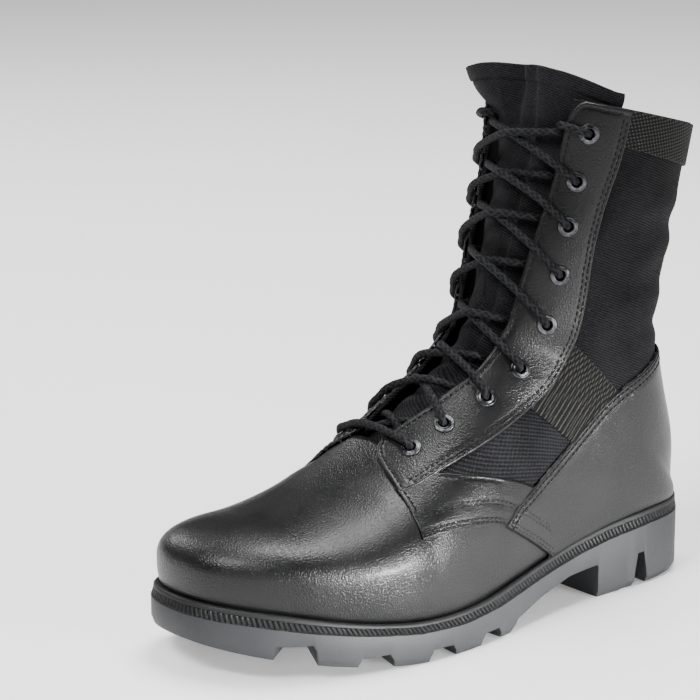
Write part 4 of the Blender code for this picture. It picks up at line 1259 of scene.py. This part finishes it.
def tongue_surface():
    """Outer surface of the tongue, rows up, columns from the medial to the lateral edge."""
    table = np.array(TONGUE)
    marks = np.linspace(0, len(table) - 1, 170)
    values = read_line(marks, np.arange(len(table)), table)
    kernel = np.array([1, 2, 3, 2, 1]) / 9
    padded = np.pad(values, ((6, 6), (0, 0)), mode="edge")
    for k in range(1, 5):
        for _ in range(3):
            padded[2:-2, k] = np.convolve(padded[:, k], kernel, mode="valid")
    r, past, lift, lateral, rise = padded[6:-6].T
    shares = np.linspace(0, 1, 71)
    start = -(throat_edge(r, -1) + past)
    end = throat_edge(r, 1) + lateral
    signed = start[:, None] + (end - start)[:, None] * shares
    rows = np.broadcast_to(r[:, None], signed.shape)
    high = smooth_step((r - 21.6) / 1.2)
    under = -0.0066 * (1 - high) - (WALL + 0.0016) * high
    out = under[:, None] + (lift - under)[:, None] * smooth_step(1 - shares / 0.42)[None]
    point, normal = on_last(rows, signed)
    top = smooth_step((rows - 20.5) / 2.5)
    fold = -0.0075 * bell(signed, -0.004, 0.0055) * top**1.5
    pleat = np.tanh((signed - 0.0125) / 0.0012) * smooth_step((0.026 - signed) / 0.01)
    pleat = pleat * smooth_step((rows - 9) / 3)
    pleat = 0.0014 * pleat * smooth_step((signed - 0.002) / 0.008)
    crush = np.sin(rows * 2 * math.pi / 1.55 + signed * 90) * bell(signed, -0.004, 0.020)
    crush = 0.0011 * crush * smooth_step((rows - 7.5) / 1.5) * (1 - top)
    out = out + fold + pleat + crush
    up = rise[:, None] * (0.55 + 0.45 * np.sin(np.pi * np.minimum(shares * 1.05, 1)))
    face = point + normal * out[..., None] + up[..., None] * np.array([0.0, 0.0, 1.0])
    return face, signed


def tongue():
    face, signed = tongue_surface()
    normal = unit(np.cross(np.gradient(face, axis=0), np.gradient(face, axis=1)))
    if normal[80, 35] @ np.array([0.0, -1.0, 0.3]) < 0:
        normal = -normal
    run = np.cumsum(np.linalg.norm(np.diff(face, axis=0, prepend=face[:1]), axis=2), axis=0)
    left = run[-1:] - run
    hem = smooth_step((sizes().hem_height - left) / 0.0006) * 0.0007
    hem = hem - 0.0004 * bell(left, sizes().hem_height + 0.0002, 0.0006)
    outer = face + normal * hem[..., None]
    inner = face - normal * 0.0026
    rows, columns = outer.shape[:2]
    rings = np.concatenate([outer, inner[:, ::-1]], axis=1)
    count = 2 * columns
    faces = tube_faces(rows, count)
    for base in (0, (rows - 1) * count):
        faces += [[base + j, base + j + 1, base + count - 2 - j, base + count - 1 - j]
                  for j in range(columns - 1)]
    uv = np.stack([np.concatenate([signed, signed[:, ::-1]], axis=1),
                   np.concatenate([run, run[:, ::-1]], axis=1)], axis=-1).reshape(-1, 2)
    piece = new_mesh("dressed_tongue", rings.reshape(-1, 3), faces, [canvas()], uv=uv)
    weld_and_face(piece, 1e-7)
    return carry(piece, "canvas", "tongue")


# Lace


def reach_of(index, side):
    return EYELETS[index][1 if side > 0 else 2]


def strand(first, second, side, high):
    """Places of a lace run from one eyelet over its own edge and under the other edge."""
    r_from, own = EYELETS[first][0], reach_of(first, side)
    r_to, other = EYELETS[second][0], reach_of(second, -side)
    total = own + other
    near = own - throat_edge(r_from, side)
    far = total - (other - throat_edge(r_to, -side))
    radius = sizes().lace_diameter / 2
    on_stay = OVERLAY_GAP + LEATHER + radius
    below = -(WALL + radius + 0.0002)
    middle = 0.0021 if high else -0.0019
    keys = [(0.0030, on_stay + 0.0009), (0.0070, on_stay + 0.0002), (near - 0.0012, on_stay),
            (near + 0.0040, on_stay - 0.0012), (total / 2 - 0.002, middle),
            (total / 2 + 0.002, middle - 0.0002),
            (far - 0.0045, below + 0.0022), (far, below), (far + 0.005, below), (total - 0.0035, below)]
    return [(r_from + (r_to - r_from) * run / total, (own - run) * side, lift) for run, lift in keys]


def through(index, side, upwards):
    """Places of the lace inside one eyelet."""
    r, reach = EYELETS[index][0], reach_of(index, side)
    places = [(r, (reach - 0.0004) * side, -0.0030), (r, (reach - 0.0002) * side, 0.0004),
              (r, (reach - 0.0006) * side, OVERLAY_GAP + LEATHER + 0.0008)]
    return places if upwards else places[::-1]


def inside_run(side):
    """From the first eyelet, inside, to the second eyelet on the other side."""
    r_from, own = EYELETS[0][0], reach_of(0, side)
    r_to, other = EYELETS[1][0], reach_of(1, -side)
    total = own + other
    below = -(WALL + sizes().lace_diameter / 2 + 0.0002)
    near = own - throat_edge(r_from, side)
    far = total - (other - throat_edge(r_to, -side))
    middle = below + (0.0031 if side > 0 else 0.0)
    keys = [(0.0035, below), (near, below), (total / 2, middle), (far, below), (total - 0.0035, below)]
    return [(r_from + (r_to - r_from) * run / total, (own - run) * side, lift) for run, lift in keys]


def half_lace(side):
    """From the bar across the first eyelets to the last eyelet."""
    places = through(0, side, upwards=False) + inside_run(side)
    at = -side
    for k in range(1, len(EYELETS)):
        places += through(k, at, upwards=True)
        if k < len(EYELETS) - 1:
            places += strand(k, k + 1, at, high=(k % 2 == 0) == (at > 0))
            at = -at
    return places, at


def lace_end(side):
    """From the top eyelet over the edge of the eyestay and in behind it."""
    r, reach = EYELETS[-1][0], reach_of(-1, side)
    edge = throat_edge(r, side)
    radius = sizes().lace_diameter / 2
    on_stay = OVERLAY_GAP + LEATHER + radius
    below = -(WALL + radius)
    return [(r + 0.02, (reach - 0.004) * side, on_stay + 0.0008), (r + 0.03, (edge + 0.003) * side, on_stay),
            (r + 0.03, (edge - 0.0016) * side, on_stay - 0.0012), (r - 0.02, (edge - 0.0026) * side, -0.0006),
            (r - 0.12, (edge - 0.0006) * side, below - 0.0002),
            (r - 0.22, (edge + 0.005) * side, below - 0.0004),
            (r - 0.26, (edge + 0.010) * side, below - 0.0004)]


def lace_line():
    first, end_first = half_lace(1)
    second, end_second = half_lace(-1)
    first += lace_end(end_first)
    second += lace_end(end_second)
    r, lateral, medial = EYELETS[0]
    lift = OVERLAY_GAP + LEATHER + sizes().lace_diameter / 2
    bar = [(r, share * (lateral if share > 0 else medial), lift + extra)
           for share, extra in ((-0.90, 0.0008), (-0.72, 0.0001), (-0.4, 0.0), (0.0, 0.0002), (0.4, 0.0),
                                (0.72, 0.0001), (0.90, 0.0008))]
    places = np.array(second[::-1] + bar + first)
    control, _ = on_last(places[:, 0], places[:, 1], places[:, 2])
    control = control[np.concatenate([[True], np.linalg.norm(np.diff(control, axis=0), axis=1) > 0.0008])]
    knots = np.concatenate([[0], np.cumsum(np.linalg.norm(np.diff(control, axis=0), axis=1) ** 0.5)])
    tangent = np.gradient(control, knots, axis=0)
    parts = []
    f = np.linspace(0, 1, 24, endpoint=False)[:, None]
    for k in range(len(control) - 1):
        span = knots[k + 1] - knots[k]
        parts.append(hermite(f, control[k], control[k + 1], tangent[k] * span, tangent[k + 1] * span))
    line = np.concatenate(parts + [control[-1:]])
    run = run_along(line)
    marks = np.linspace(0, run[-1], int(run[-1] / LACE_STEP))
    return read_line(marks, run, line), marks


def lace():
    line, run = lace_line()
    ahead = unit(np.gradient(line, axis=0))
    sides = sizes().lace_sides
    angle = np.arange(sides) * 2 * math.pi / sides
    across = unit(np.cross(ahead[0], np.array([0.3, 0.2, 0.9])))
    points = np.empty((len(line), sides, 3))
    tone = np.empty((len(line), sides))
    for i in range(len(line)):
        across = unit(across - ahead[i] * (across @ ahead[i]))
        up = np.cross(ahead[i], across)
        turn = run[i] / sizes().braid_pitch * 2 * math.pi
        right, left = np.cos(4 * angle - turn), np.cos(4 * angle + turn)
        over = np.cos(2 * angle) * np.cos(turn / 2) > 0
        braid = np.where(over, np.maximum(right, 0.3 * left), np.maximum(left, 0.3 * right))
        radius = sizes().lace_diameter / 2 * (0.97 + 0.075 * braid)
        outwards = across * np.cos(angle)[:, None] + up * np.sin(angle)[:, None]
        points[i] = line[i] + outwards * radius[:, None]
        # tone carries the braid's raised strands to the lace material, where it becomes painted highlights
        tone[i] = 0.5 + 0.5 * braid
    count = len(line)
    faces = [[i * sides + j, (i + 1) * sides + j, (i + 1) * sides + (j + 1) % sides,
              i * sides + (j + 1) % sides]
             for i in range(count - 1) for j in range(sides)]
    faces += [list(range(sides)), list(range((count - 1) * sides, count * sides))]
    uv = np.stack([tone, np.broadcast_to(run[:, None], tone.shape)], axis=-1).reshape(-1, 2)
    cord = new_mesh("dressed_lace", points.reshape(-1, 3), faces, [lace_painted_highlights()], uv=uv)
    weld_and_face(cord, 1e-7)
    return carry(cord, "lace_cord", *[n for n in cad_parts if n.startswith("lace_")])


# Eyelets


def eyelets():
    top = OVERLAY_GAP + LEATHER
    outer = sizes().eyelet_radius
    profile = [(0.00250, -0.0022), (0.00246, top + 0.0003), (0.00256, top + 0.0008), (0.00286, top + 0.00122),
               (0.00315, top + 0.00125), (0.00345, top + 0.00095), (outer - 0.0010, top + 0.00072),
               (outer - 0.0006, top + 0.00085), (outer - 0.0002, top + 0.0006), (outer, top + 0.0001),
               (outer - 0.0002, top - 0.0005),
               (0.00300, top - 0.0005), (0.00296, -0.0022)]
    sides, count = 32, len(profile)
    points, faces = [], []
    for place, axis in eyelet_places():
        base = len(points)
        first = unit(np.cross(axis, np.array([0.1, 0.2, 0.97])))
        second = np.cross(axis, first)
        for k in range(sides):
            angle = 2 * math.pi * k / sides
            arm = first * math.cos(angle) + second * math.sin(angle)
            points += [place + arm * radius + axis * height for radius, height in profile]
            a, b = base + k * count, base + (k + 1) % sides * count
            faces += [[a + j, b + j, b + (j + 1) % count, a + (j + 1) % count] for j in range(count)]
    ring = new_mesh("dressed_eyelets", np.array(points), faces, [eyelet_metal()])
    weld_and_face(ring, 1e-7)
    return carry(ring, "eyelet_metal", *[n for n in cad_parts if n.startswith("eyelet_")])


# Sole


def feather(spacing=0.0012):
    """Closed foot line of the upper.

    Gives arc lengths, the whole length, points, level outward normals, sections and sides.
    """
    rows = np.arange(0, SEAM_ROW + 0.0001, ROW_STEP)
    points = np.concatenate([on_side(rows, 1.0, 1)[0], on_side(rows[-2:0:-1], 1.0, -1)[0]])
    section_of = np.concatenate([rows, rows[-2:0:-1]])
    side = np.concatenate([np.ones(len(rows)), -np.ones(len(rows) - 2)])
    closed = np.concatenate([points, points[:1]])
    run = run_along(closed)
    count = int(run[-1] / spacing)
    marks = np.arange(count) * run[-1] / count
    fine = read_line(marks, run, closed)
    kernel = np.exp(-np.linspace(-2, 2, 2 * int(0.004 / spacing) + 1) ** 2)
    kernel /= kernel.sum()
    reach = len(kernel) // 2
    for i in range(3):
        closed = np.concatenate([fine[-reach:, i], fine[:, i], fine[:reach, i]])
        fine[:, i] = np.convolve(closed, kernel, mode="valid")
    step = np.roll(fine, -1, axis=0) - np.roll(fine, 1, axis=0)
    normal = unit(np.stack([-step[:, 1], step[:, 0], np.zeros(count)], axis=1))
    if (normal * (fine - fine.mean(axis=0))).sum() < 0:
        normal = -normal
    sections = np.interp(marks, run[:-1], section_of)
    return marks, run[-1], fine, normal, sections, np.interp(marks, run[:-1], side)


def around(marks, length, values, at):
    """A quantity round the closed foot line, read at any arc length."""
    if values.ndim == 1:
        return np.interp(np.mod(at, length), np.append(marks, length), np.append(values, values[0]))
    return np.stack([around(marks, length, values[:, i], at) for i in range(values.shape[1])], axis=-1)


def tread_height(from_heel):
    """Height of the tread over the floor: flat up to the ball, then the toe spring."""
    along = np.maximum(from_heel - SPRING_START, 0.0) / SPRING_LENGTH
    return SPRING_HEIGHT * along ** SPRING_POWER


def rand():
    marks, length, line, normal, sections, sides = feather()
    count = 4 * round(length / sizes().rib_pitch)
    at = np.arange(count) * length / count
    sink = np.where(np.arange(count) % 4 < 2, sizes().rib_depth, 0.0)
    r = around(marks, length, sections, at)
    foot = column(SOLE_SIDE, r, 1) * SHAFT_HEIGHT
    inset = column(SOLE_SIDE, r, 2)
    top = around(marks, length, line[:, 2], at) + 0.0012
    lip = top - 0.40 * (top - foot)
    lean = -0.0016 * around(marks, length, sides, at) * smooth_step(r / 1.5) * smooth_step((SEAM_ROW - r) / 2)
    out = SOLE_PROJECTION
    profile = [
        (0.0014 + 0 * at, foot + 0.0001, 0.0, 0.0),
        (out + 0.0001 + 0 * at, foot + 0.0001, 0.25, 0.0),
        (out - 0.2 * inset, foot + 0.0005, 1.0, 0.15),
        (out - 0.75 * inset, lip - 0.0004, 1.0, 1.0),
        (out - inset - 0.0001, lip - 0.0001, 0.15, 1.0),
        (out - inset + 0.0003, lip + 0.0003, 0.0, 1.0),
        (out - inset + 0.0001, top - 0.0009, 0.0, 1.0),
        (out - inset - 0.0005, top - 0.0002, 0.0, 1.0),
        (out - inset - 0.0014, top, 0.0, 1.0),
        (0.0004 + 0 * at, top - 0.0006, 0.0, 1.0),
    ]
    rings = []
    for reach, height, cut, shift in profile:
        where = at + lean * shift
        q = around(marks, length, line, where)
        q = q + unit(around(marks, length, normal, where)) * (reach - sink * cut)[:, None]
        q[:, 2] = height
        rings.append(q)
    size = len(profile)
    faces = tube_faces(count, size, closed=True)
    band = new_mesh("dressed_rand", np.stack(rings, axis=1).reshape(-1, 3), faces, [rand_rubber_painted_shade()])
    weld_and_face(band, 1e-7)
    band.data.set_sharp_from_angle(angle=math.radians(38))
    return carry(band, "sole_rubber", "rand")


def tread_cutter():
    points, faces = [], []

    def groove(side, edge_from, edge_to, centre_from, centre_to, inner, depth):
        base = len(points)
        rise = float(tread_height(edge_from))
        for height, inset in ((-0.004, -0.0003), (rise + depth * 0.45, 0.0010), (rise + depth, 0.0030)):
            for x, y in ((inner, centre_from + inset), (inner, centre_to - inset),
                         (GROOVE_REACH, edge_to - inset), (GROOVE_REACH, edge_from + inset)):
                points.append((side * x, HEEL_CENTRE - y, height))
        faces.append([base + k for k in range(4)])
        faces.append([base + 8 + k for k in range(4)])
        for first in (base, base + 4):
            faces.extend([first + k, first + (k + 1) % 4, first + 4 + (k + 1) % 4, first + 4 + k]
                         for k in range(4))

    further = GROOVE_REACH / GROOVE_EDGE
    for grooves, side in ((LATERAL_GROOVES, 1), (MEDIAL_GROOVES, -1)):
        for edge_from, edge_to, centre_from, centre_to in grooves:
            groove(side, centre_from + (edge_from - centre_from) * further,
                   centre_to + (edge_to - centre_to) * further, centre_from, centre_to, 0.004, LUG_DEPTH)
        groove(side, *HEEL_GROOVE, 0.009, HEEL_HEIGHT)
    base = len(points)
    arch = [(0.0785, -0.004), (0.0785, HEEL_HEIGHT - 0.001), (0.0795, HEEL_HEIGHT),
            (0.100, HEEL_HEIGHT - 0.0012), (0.122, HEEL_HEIGHT - 0.0058), (0.142, 0.0058),
            (0.1475, 0.0), (0.1500, -0.004)]
    for x in (-GROOVE_REACH, GROOVE_REACH):
        points.extend((x, HEEL_CENTRE - y, z) for y, z in arch)
    size = len(arch)
    faces.append([base + k for k in range(size)])
    faces.append([base + size + k for k in range(size)])
    faces.extend([base + k, base + (k + 1) % size, base + size + (k + 1) % size, base + size + k]
                 for k in range(size))
    return weld_and_face(new_mesh("tread_cutter", np.array(points), faces, [], smooth=False), 1e-7)


def outsole():
    rows = np.linspace(0, SEAM_ROW, 121)
    pairs = [(r, 1) for r in rows] + [(r, -1) for r in rows[-2:0:-1]]
    _, _, line, normal, _, _ = feather()
    count = len(pairs)
    tree = tree_of(line)
    at = [tree.find(on_side(r, 1.0, side)[0])[1] for r, side in pairs]
    p, n = line[at], normal[at]
    foot = column(SOLE_SIDE, np.array([r for r, _ in pairs]), 1) * SHAFT_HEIGHT
    from_heel = HEEL_CENTRE - (p + n * SOLE_PROJECTION)[:, 1]
    base = tread_height(from_heel)
    draft = np.where(from_heel > 0.06, 0.0012, 0.0022)
    rings = [
        (SOLE_PROJECTION - draft, base),
        (SOLE_PROJECTION + 0 * base, base + 0.0034),
        (SOLE_PROJECTION + 0 * base, foot - 0.0002),
        (0.0018 + 0 * base, foot - 0.0001),
        (0.0018 + 0 * base, p[:, 2] - 0.0005),
    ]
    points = []
    for reach, height in rings:
        q = p + n * reach[:, None]
        q[:, 2] = height
        points.append(q)
    size = len(rings)
    faces = [[i * size + j, i * size + j + 1, (i + 1) % count * size + j + 1, (i + 1) % count * size + j]
             for i in range(count) for j in range(size - 1)]
    for level in (0, size - 1):
        for i in range(count // 2):
            corner = list(dict.fromkeys([i, i + 1, (count - i - 1) % count, (count - i) % count]))
            faces.append([c * size + level for c in corner])
    sole = new_mesh("dressed_outsole", np.stack(points, axis=1).reshape(-1, 3), faces, [sole_rubber()],
                    smooth=False)
    weld_and_face(sole, 1e-6)
    cutter = tread_cutter()
    cut = sole.modifiers.new("Tread", "BOOLEAN")
    cut.operation = "DIFFERENCE"
    cut.solver = "EXACT"
    cut.object = cutter
    edge = sole.modifiers.new("Edge", "BEVEL")
    edge.width = 0.0007
    edge.segments = 2
    edge.limit_method = "ANGLE"
    edge.angle_limit = math.radians(38)
    bpy.context.view_layer.update()
    done = bpy.data.meshes.new_from_object(sole.evaluated_get(bpy.context.evaluated_depsgraph_get()))
    sole.modifiers.clear()
    sole.data = done
    bpy.data.objects.remove(cutter, do_unlink=True)
    done.polygons.foreach_set("use_smooth", np.full(len(done.polygons), True))
    done.set_sharp_from_angle(angle=math.radians(32))
    return carry(sole, "sole_rubber", "outsole")


# Stage


# The photograph's view: turn and rise in degrees, then lengths in metres and the lens in millimetres
VIEW_TURN = 51.5
VIEW_RISE = 13.7
VIEW_DISTANCE = 1.28
VIEW_AIM = (0, HEEL_CENTRE - 0.150, 0.120)
VIEW_SHIFT = (-0.0442, 0.0114)
VIEW_LENS = 134.74
# Soft lights: name, place, aim, width and height, power in watts, spread in degrees
LIGHTS = [
    ("key_light", (0.3, -2.0, 2.4), (0, -0.1, 0.1), (1.0, 1.0), 95, 180),
    ("rear_light", (1.7, 1.3, 0.75), (0, -0.08, 0.08), (0.4, 0.5), 7, 180),
    ("side_light", (1.15, 0.12, 0.10), (0.02, -0.2, 0.015), (0.4, 0.14), 1.0, 15),
    ("left_light", (-1.9, -0.3, 1.2), (0, -0.12, 0.08), (0.4, 0.6), 14, 180),
    ("top_light", (-0.2, 0.4, 2.4), (0, -0.1, 0.1), (1.1, 1.1), 85, 180),
]
WORLD_LIGHT = 0.16
FLOOR_CORNERS = [(-9, -9, 0), (9, -9, 0), (9, 9, 0), (-9, 9, 0)]


def area_light(name, place, aim, size, power, opening):
    data = bpy.data.lights.new(name, "AREA")
    data.shape = "RECTANGLE"
    data.size, data.size_y = size
    data.energy = power
    data.spread = math.radians(opening)
    lamp = bpy.data.objects.new(name, data)
    bpy.context.scene.collection.objects.link(lamp)
    lamp.location = place
    lamp.rotation_euler = (Vector(aim) - Vector(place)).to_track_quat("-Z", "Y").to_euler()


def stage():
    floor = new_mesh("studio_floor", FLOOR_CORNERS, [[0, 1, 2, 3]], [studio_floor()], smooth=False)
    for light in LIGHTS:
        area_light(*light)
    world = bpy.data.worlds.new("studio_world")
    world.use_nodes = True
    world.node_tree.nodes["Background"].inputs[0].default_value = (1, 1, 1, 1)
    world.node_tree.nodes["Background"].inputs[1].default_value = WORLD_LIGHT
    bpy.context.scene.world = world
    turn, rise = math.radians(VIEW_TURN), math.radians(VIEW_RISE)
    right = Vector((math.cos(turn), math.sin(turn), 0))
    back = Vector((math.sin(turn) * math.cos(rise), -math.cos(turn) * math.cos(rise), math.sin(rise)))
    target = Vector(VIEW_AIM) + right * VIEW_SHIFT[0] + back.cross(right) * VIEW_SHIFT[1]
    data = bpy.data.cameras.new("photo_camera")
    data.sensor_width = 36
    data.lens = VIEW_LENS
    data.clip_end = 50
    camera = bpy.data.objects.new("photo_camera", data)
    bpy.context.scene.collection.objects.link(camera)
    camera.location = target + back * VIEW_DISTANCE
    camera.rotation_euler = (-back).to_track_quat("-Z", "Y").to_euler()
    bpy.context.scene.camera = camera


def finish_insole():
    for slot in bpy.data.objects["insole"].material_slots:
        slot.material = insole_board()


class BOOT_OT_stage(bpy.types.Operator):
    """Add the pale floor, the soft lights and the camera"""

    bl_idname = "boot.stage"
    bl_label = "Stage"

    def execute(self, context):
        stage()
        return {"FINISHED"}


class BOOT_OT_upper(bpy.types.Operator):
    """Add the leather vamp and the canvas quarters as one hollow upper"""

    bl_idname = "boot.upper"
    bl_label = "Upper"

    def execute(self, context):
        dress_upper()
        return {"FINISHED"}


class BOOT_OT_overlays(bpy.types.Operator):
    """Add the eyestays, the quarter bands and the heel counter"""

    bl_idname = "boot.overlays"
    bl_label = "Leather overlays"

    def execute(self, context):
        for side in (1, -1):
            eyestay(side)
            quarter_band(side)
        heel_counter()
        return {"FINISHED"}


class BOOT_OT_webbing(bpy.types.Operator):
    """Add the ankle webbing on each side and the webbing round the collar"""

    bl_idname = "boot.webbing"
    bl_label = "Webbing"

    def execute(self, context):
        ankle_webbing(1)
        ankle_webbing(-1)
        collar_webbing()
        return {"FINISHED"}


class BOOT_OT_stitching(bpy.types.Operator):
    """Add the rows of stitches along the leather's edges"""

    bl_idname = "boot.stitching"
    bl_label = "Stitching"

    def execute(self, context):
        stitching()
        return {"FINISHED"}


class BOOT_OT_tongue(bpy.types.Operator):
    """Add the canvas tongue with its hem and folds"""

    bl_idname = "boot.tongue"
    bl_label = "Tongue"

    def execute(self, context):
        tongue()
        return {"FINISHED"}


class BOOT_OT_lacing(bpy.types.Operator):
    """Add the eyelets and run the braided lace through them"""

    bl_idname = "boot.lacing"
    bl_label = "Eyelets and lace"

    def execute(self, context):
        eyelets()
        lace()
        return {"FINISHED"}


class BOOT_OT_sole(bpy.types.Operator):
    """Add the lugged outsole, its ribbed band and the insole's finish"""

    bl_idname = "boot.sole"
    bl_label = "Sole"

    def execute(self, context):
        outsole()
        rand()
        finish_insole()
        return {"FINISHED"}


STEPS = (BOOT_OT_stage, BOOT_OT_upper, BOOT_OT_overlays, BOOT_OT_webbing, BOOT_OT_stitching,
         BOOT_OT_tongue, BOOT_OT_lacing, BOOT_OT_sole)


class BOOT_PT_dressing(bpy.types.Panel):
    """Lists the steps that dress the boot, with their sizes and colours"""

    bl_idname = "BOOT_PT_dressing"
    bl_label = "Boot dressing"
    bl_space_type = "VIEW_3D"
    bl_region_type = "UI"
    bl_category = "Boot"

    def draw(self, context):
        layout = self.layout
        for step in STEPS:
            layout.operator(step.bl_idname)
        for group, kind in ((context.scene.boot_sizes, BootSizes), (context.scene.boot_colours, BootColours)):
            box = layout.box()
            for name in kind.__annotations__:
                box.prop(group, name)


CLASSES = (BootSizes, BootColours, *STEPS, BOOT_PT_dressing)


def register():
    for kind in CLASSES:
        bpy.utils.register_class(kind)
    bpy.types.Scene.boot_sizes = PointerProperty(type=BootSizes)
    bpy.types.Scene.boot_colours = PointerProperty(type=BootColours)


def unregister():
    del bpy.types.Scene.boot_colours
    del bpy.types.Scene.boot_sizes
    for kind in reversed(CLASSES):
        bpy.utils.unregister_class(kind)


def main():
    register()
    for step in STEPS:
        getattr(bpy.ops.boot, step.bl_idname.split(".")[1])()
    bpy.context.view_layer.update()


if __name__ == "__main__":
    main()
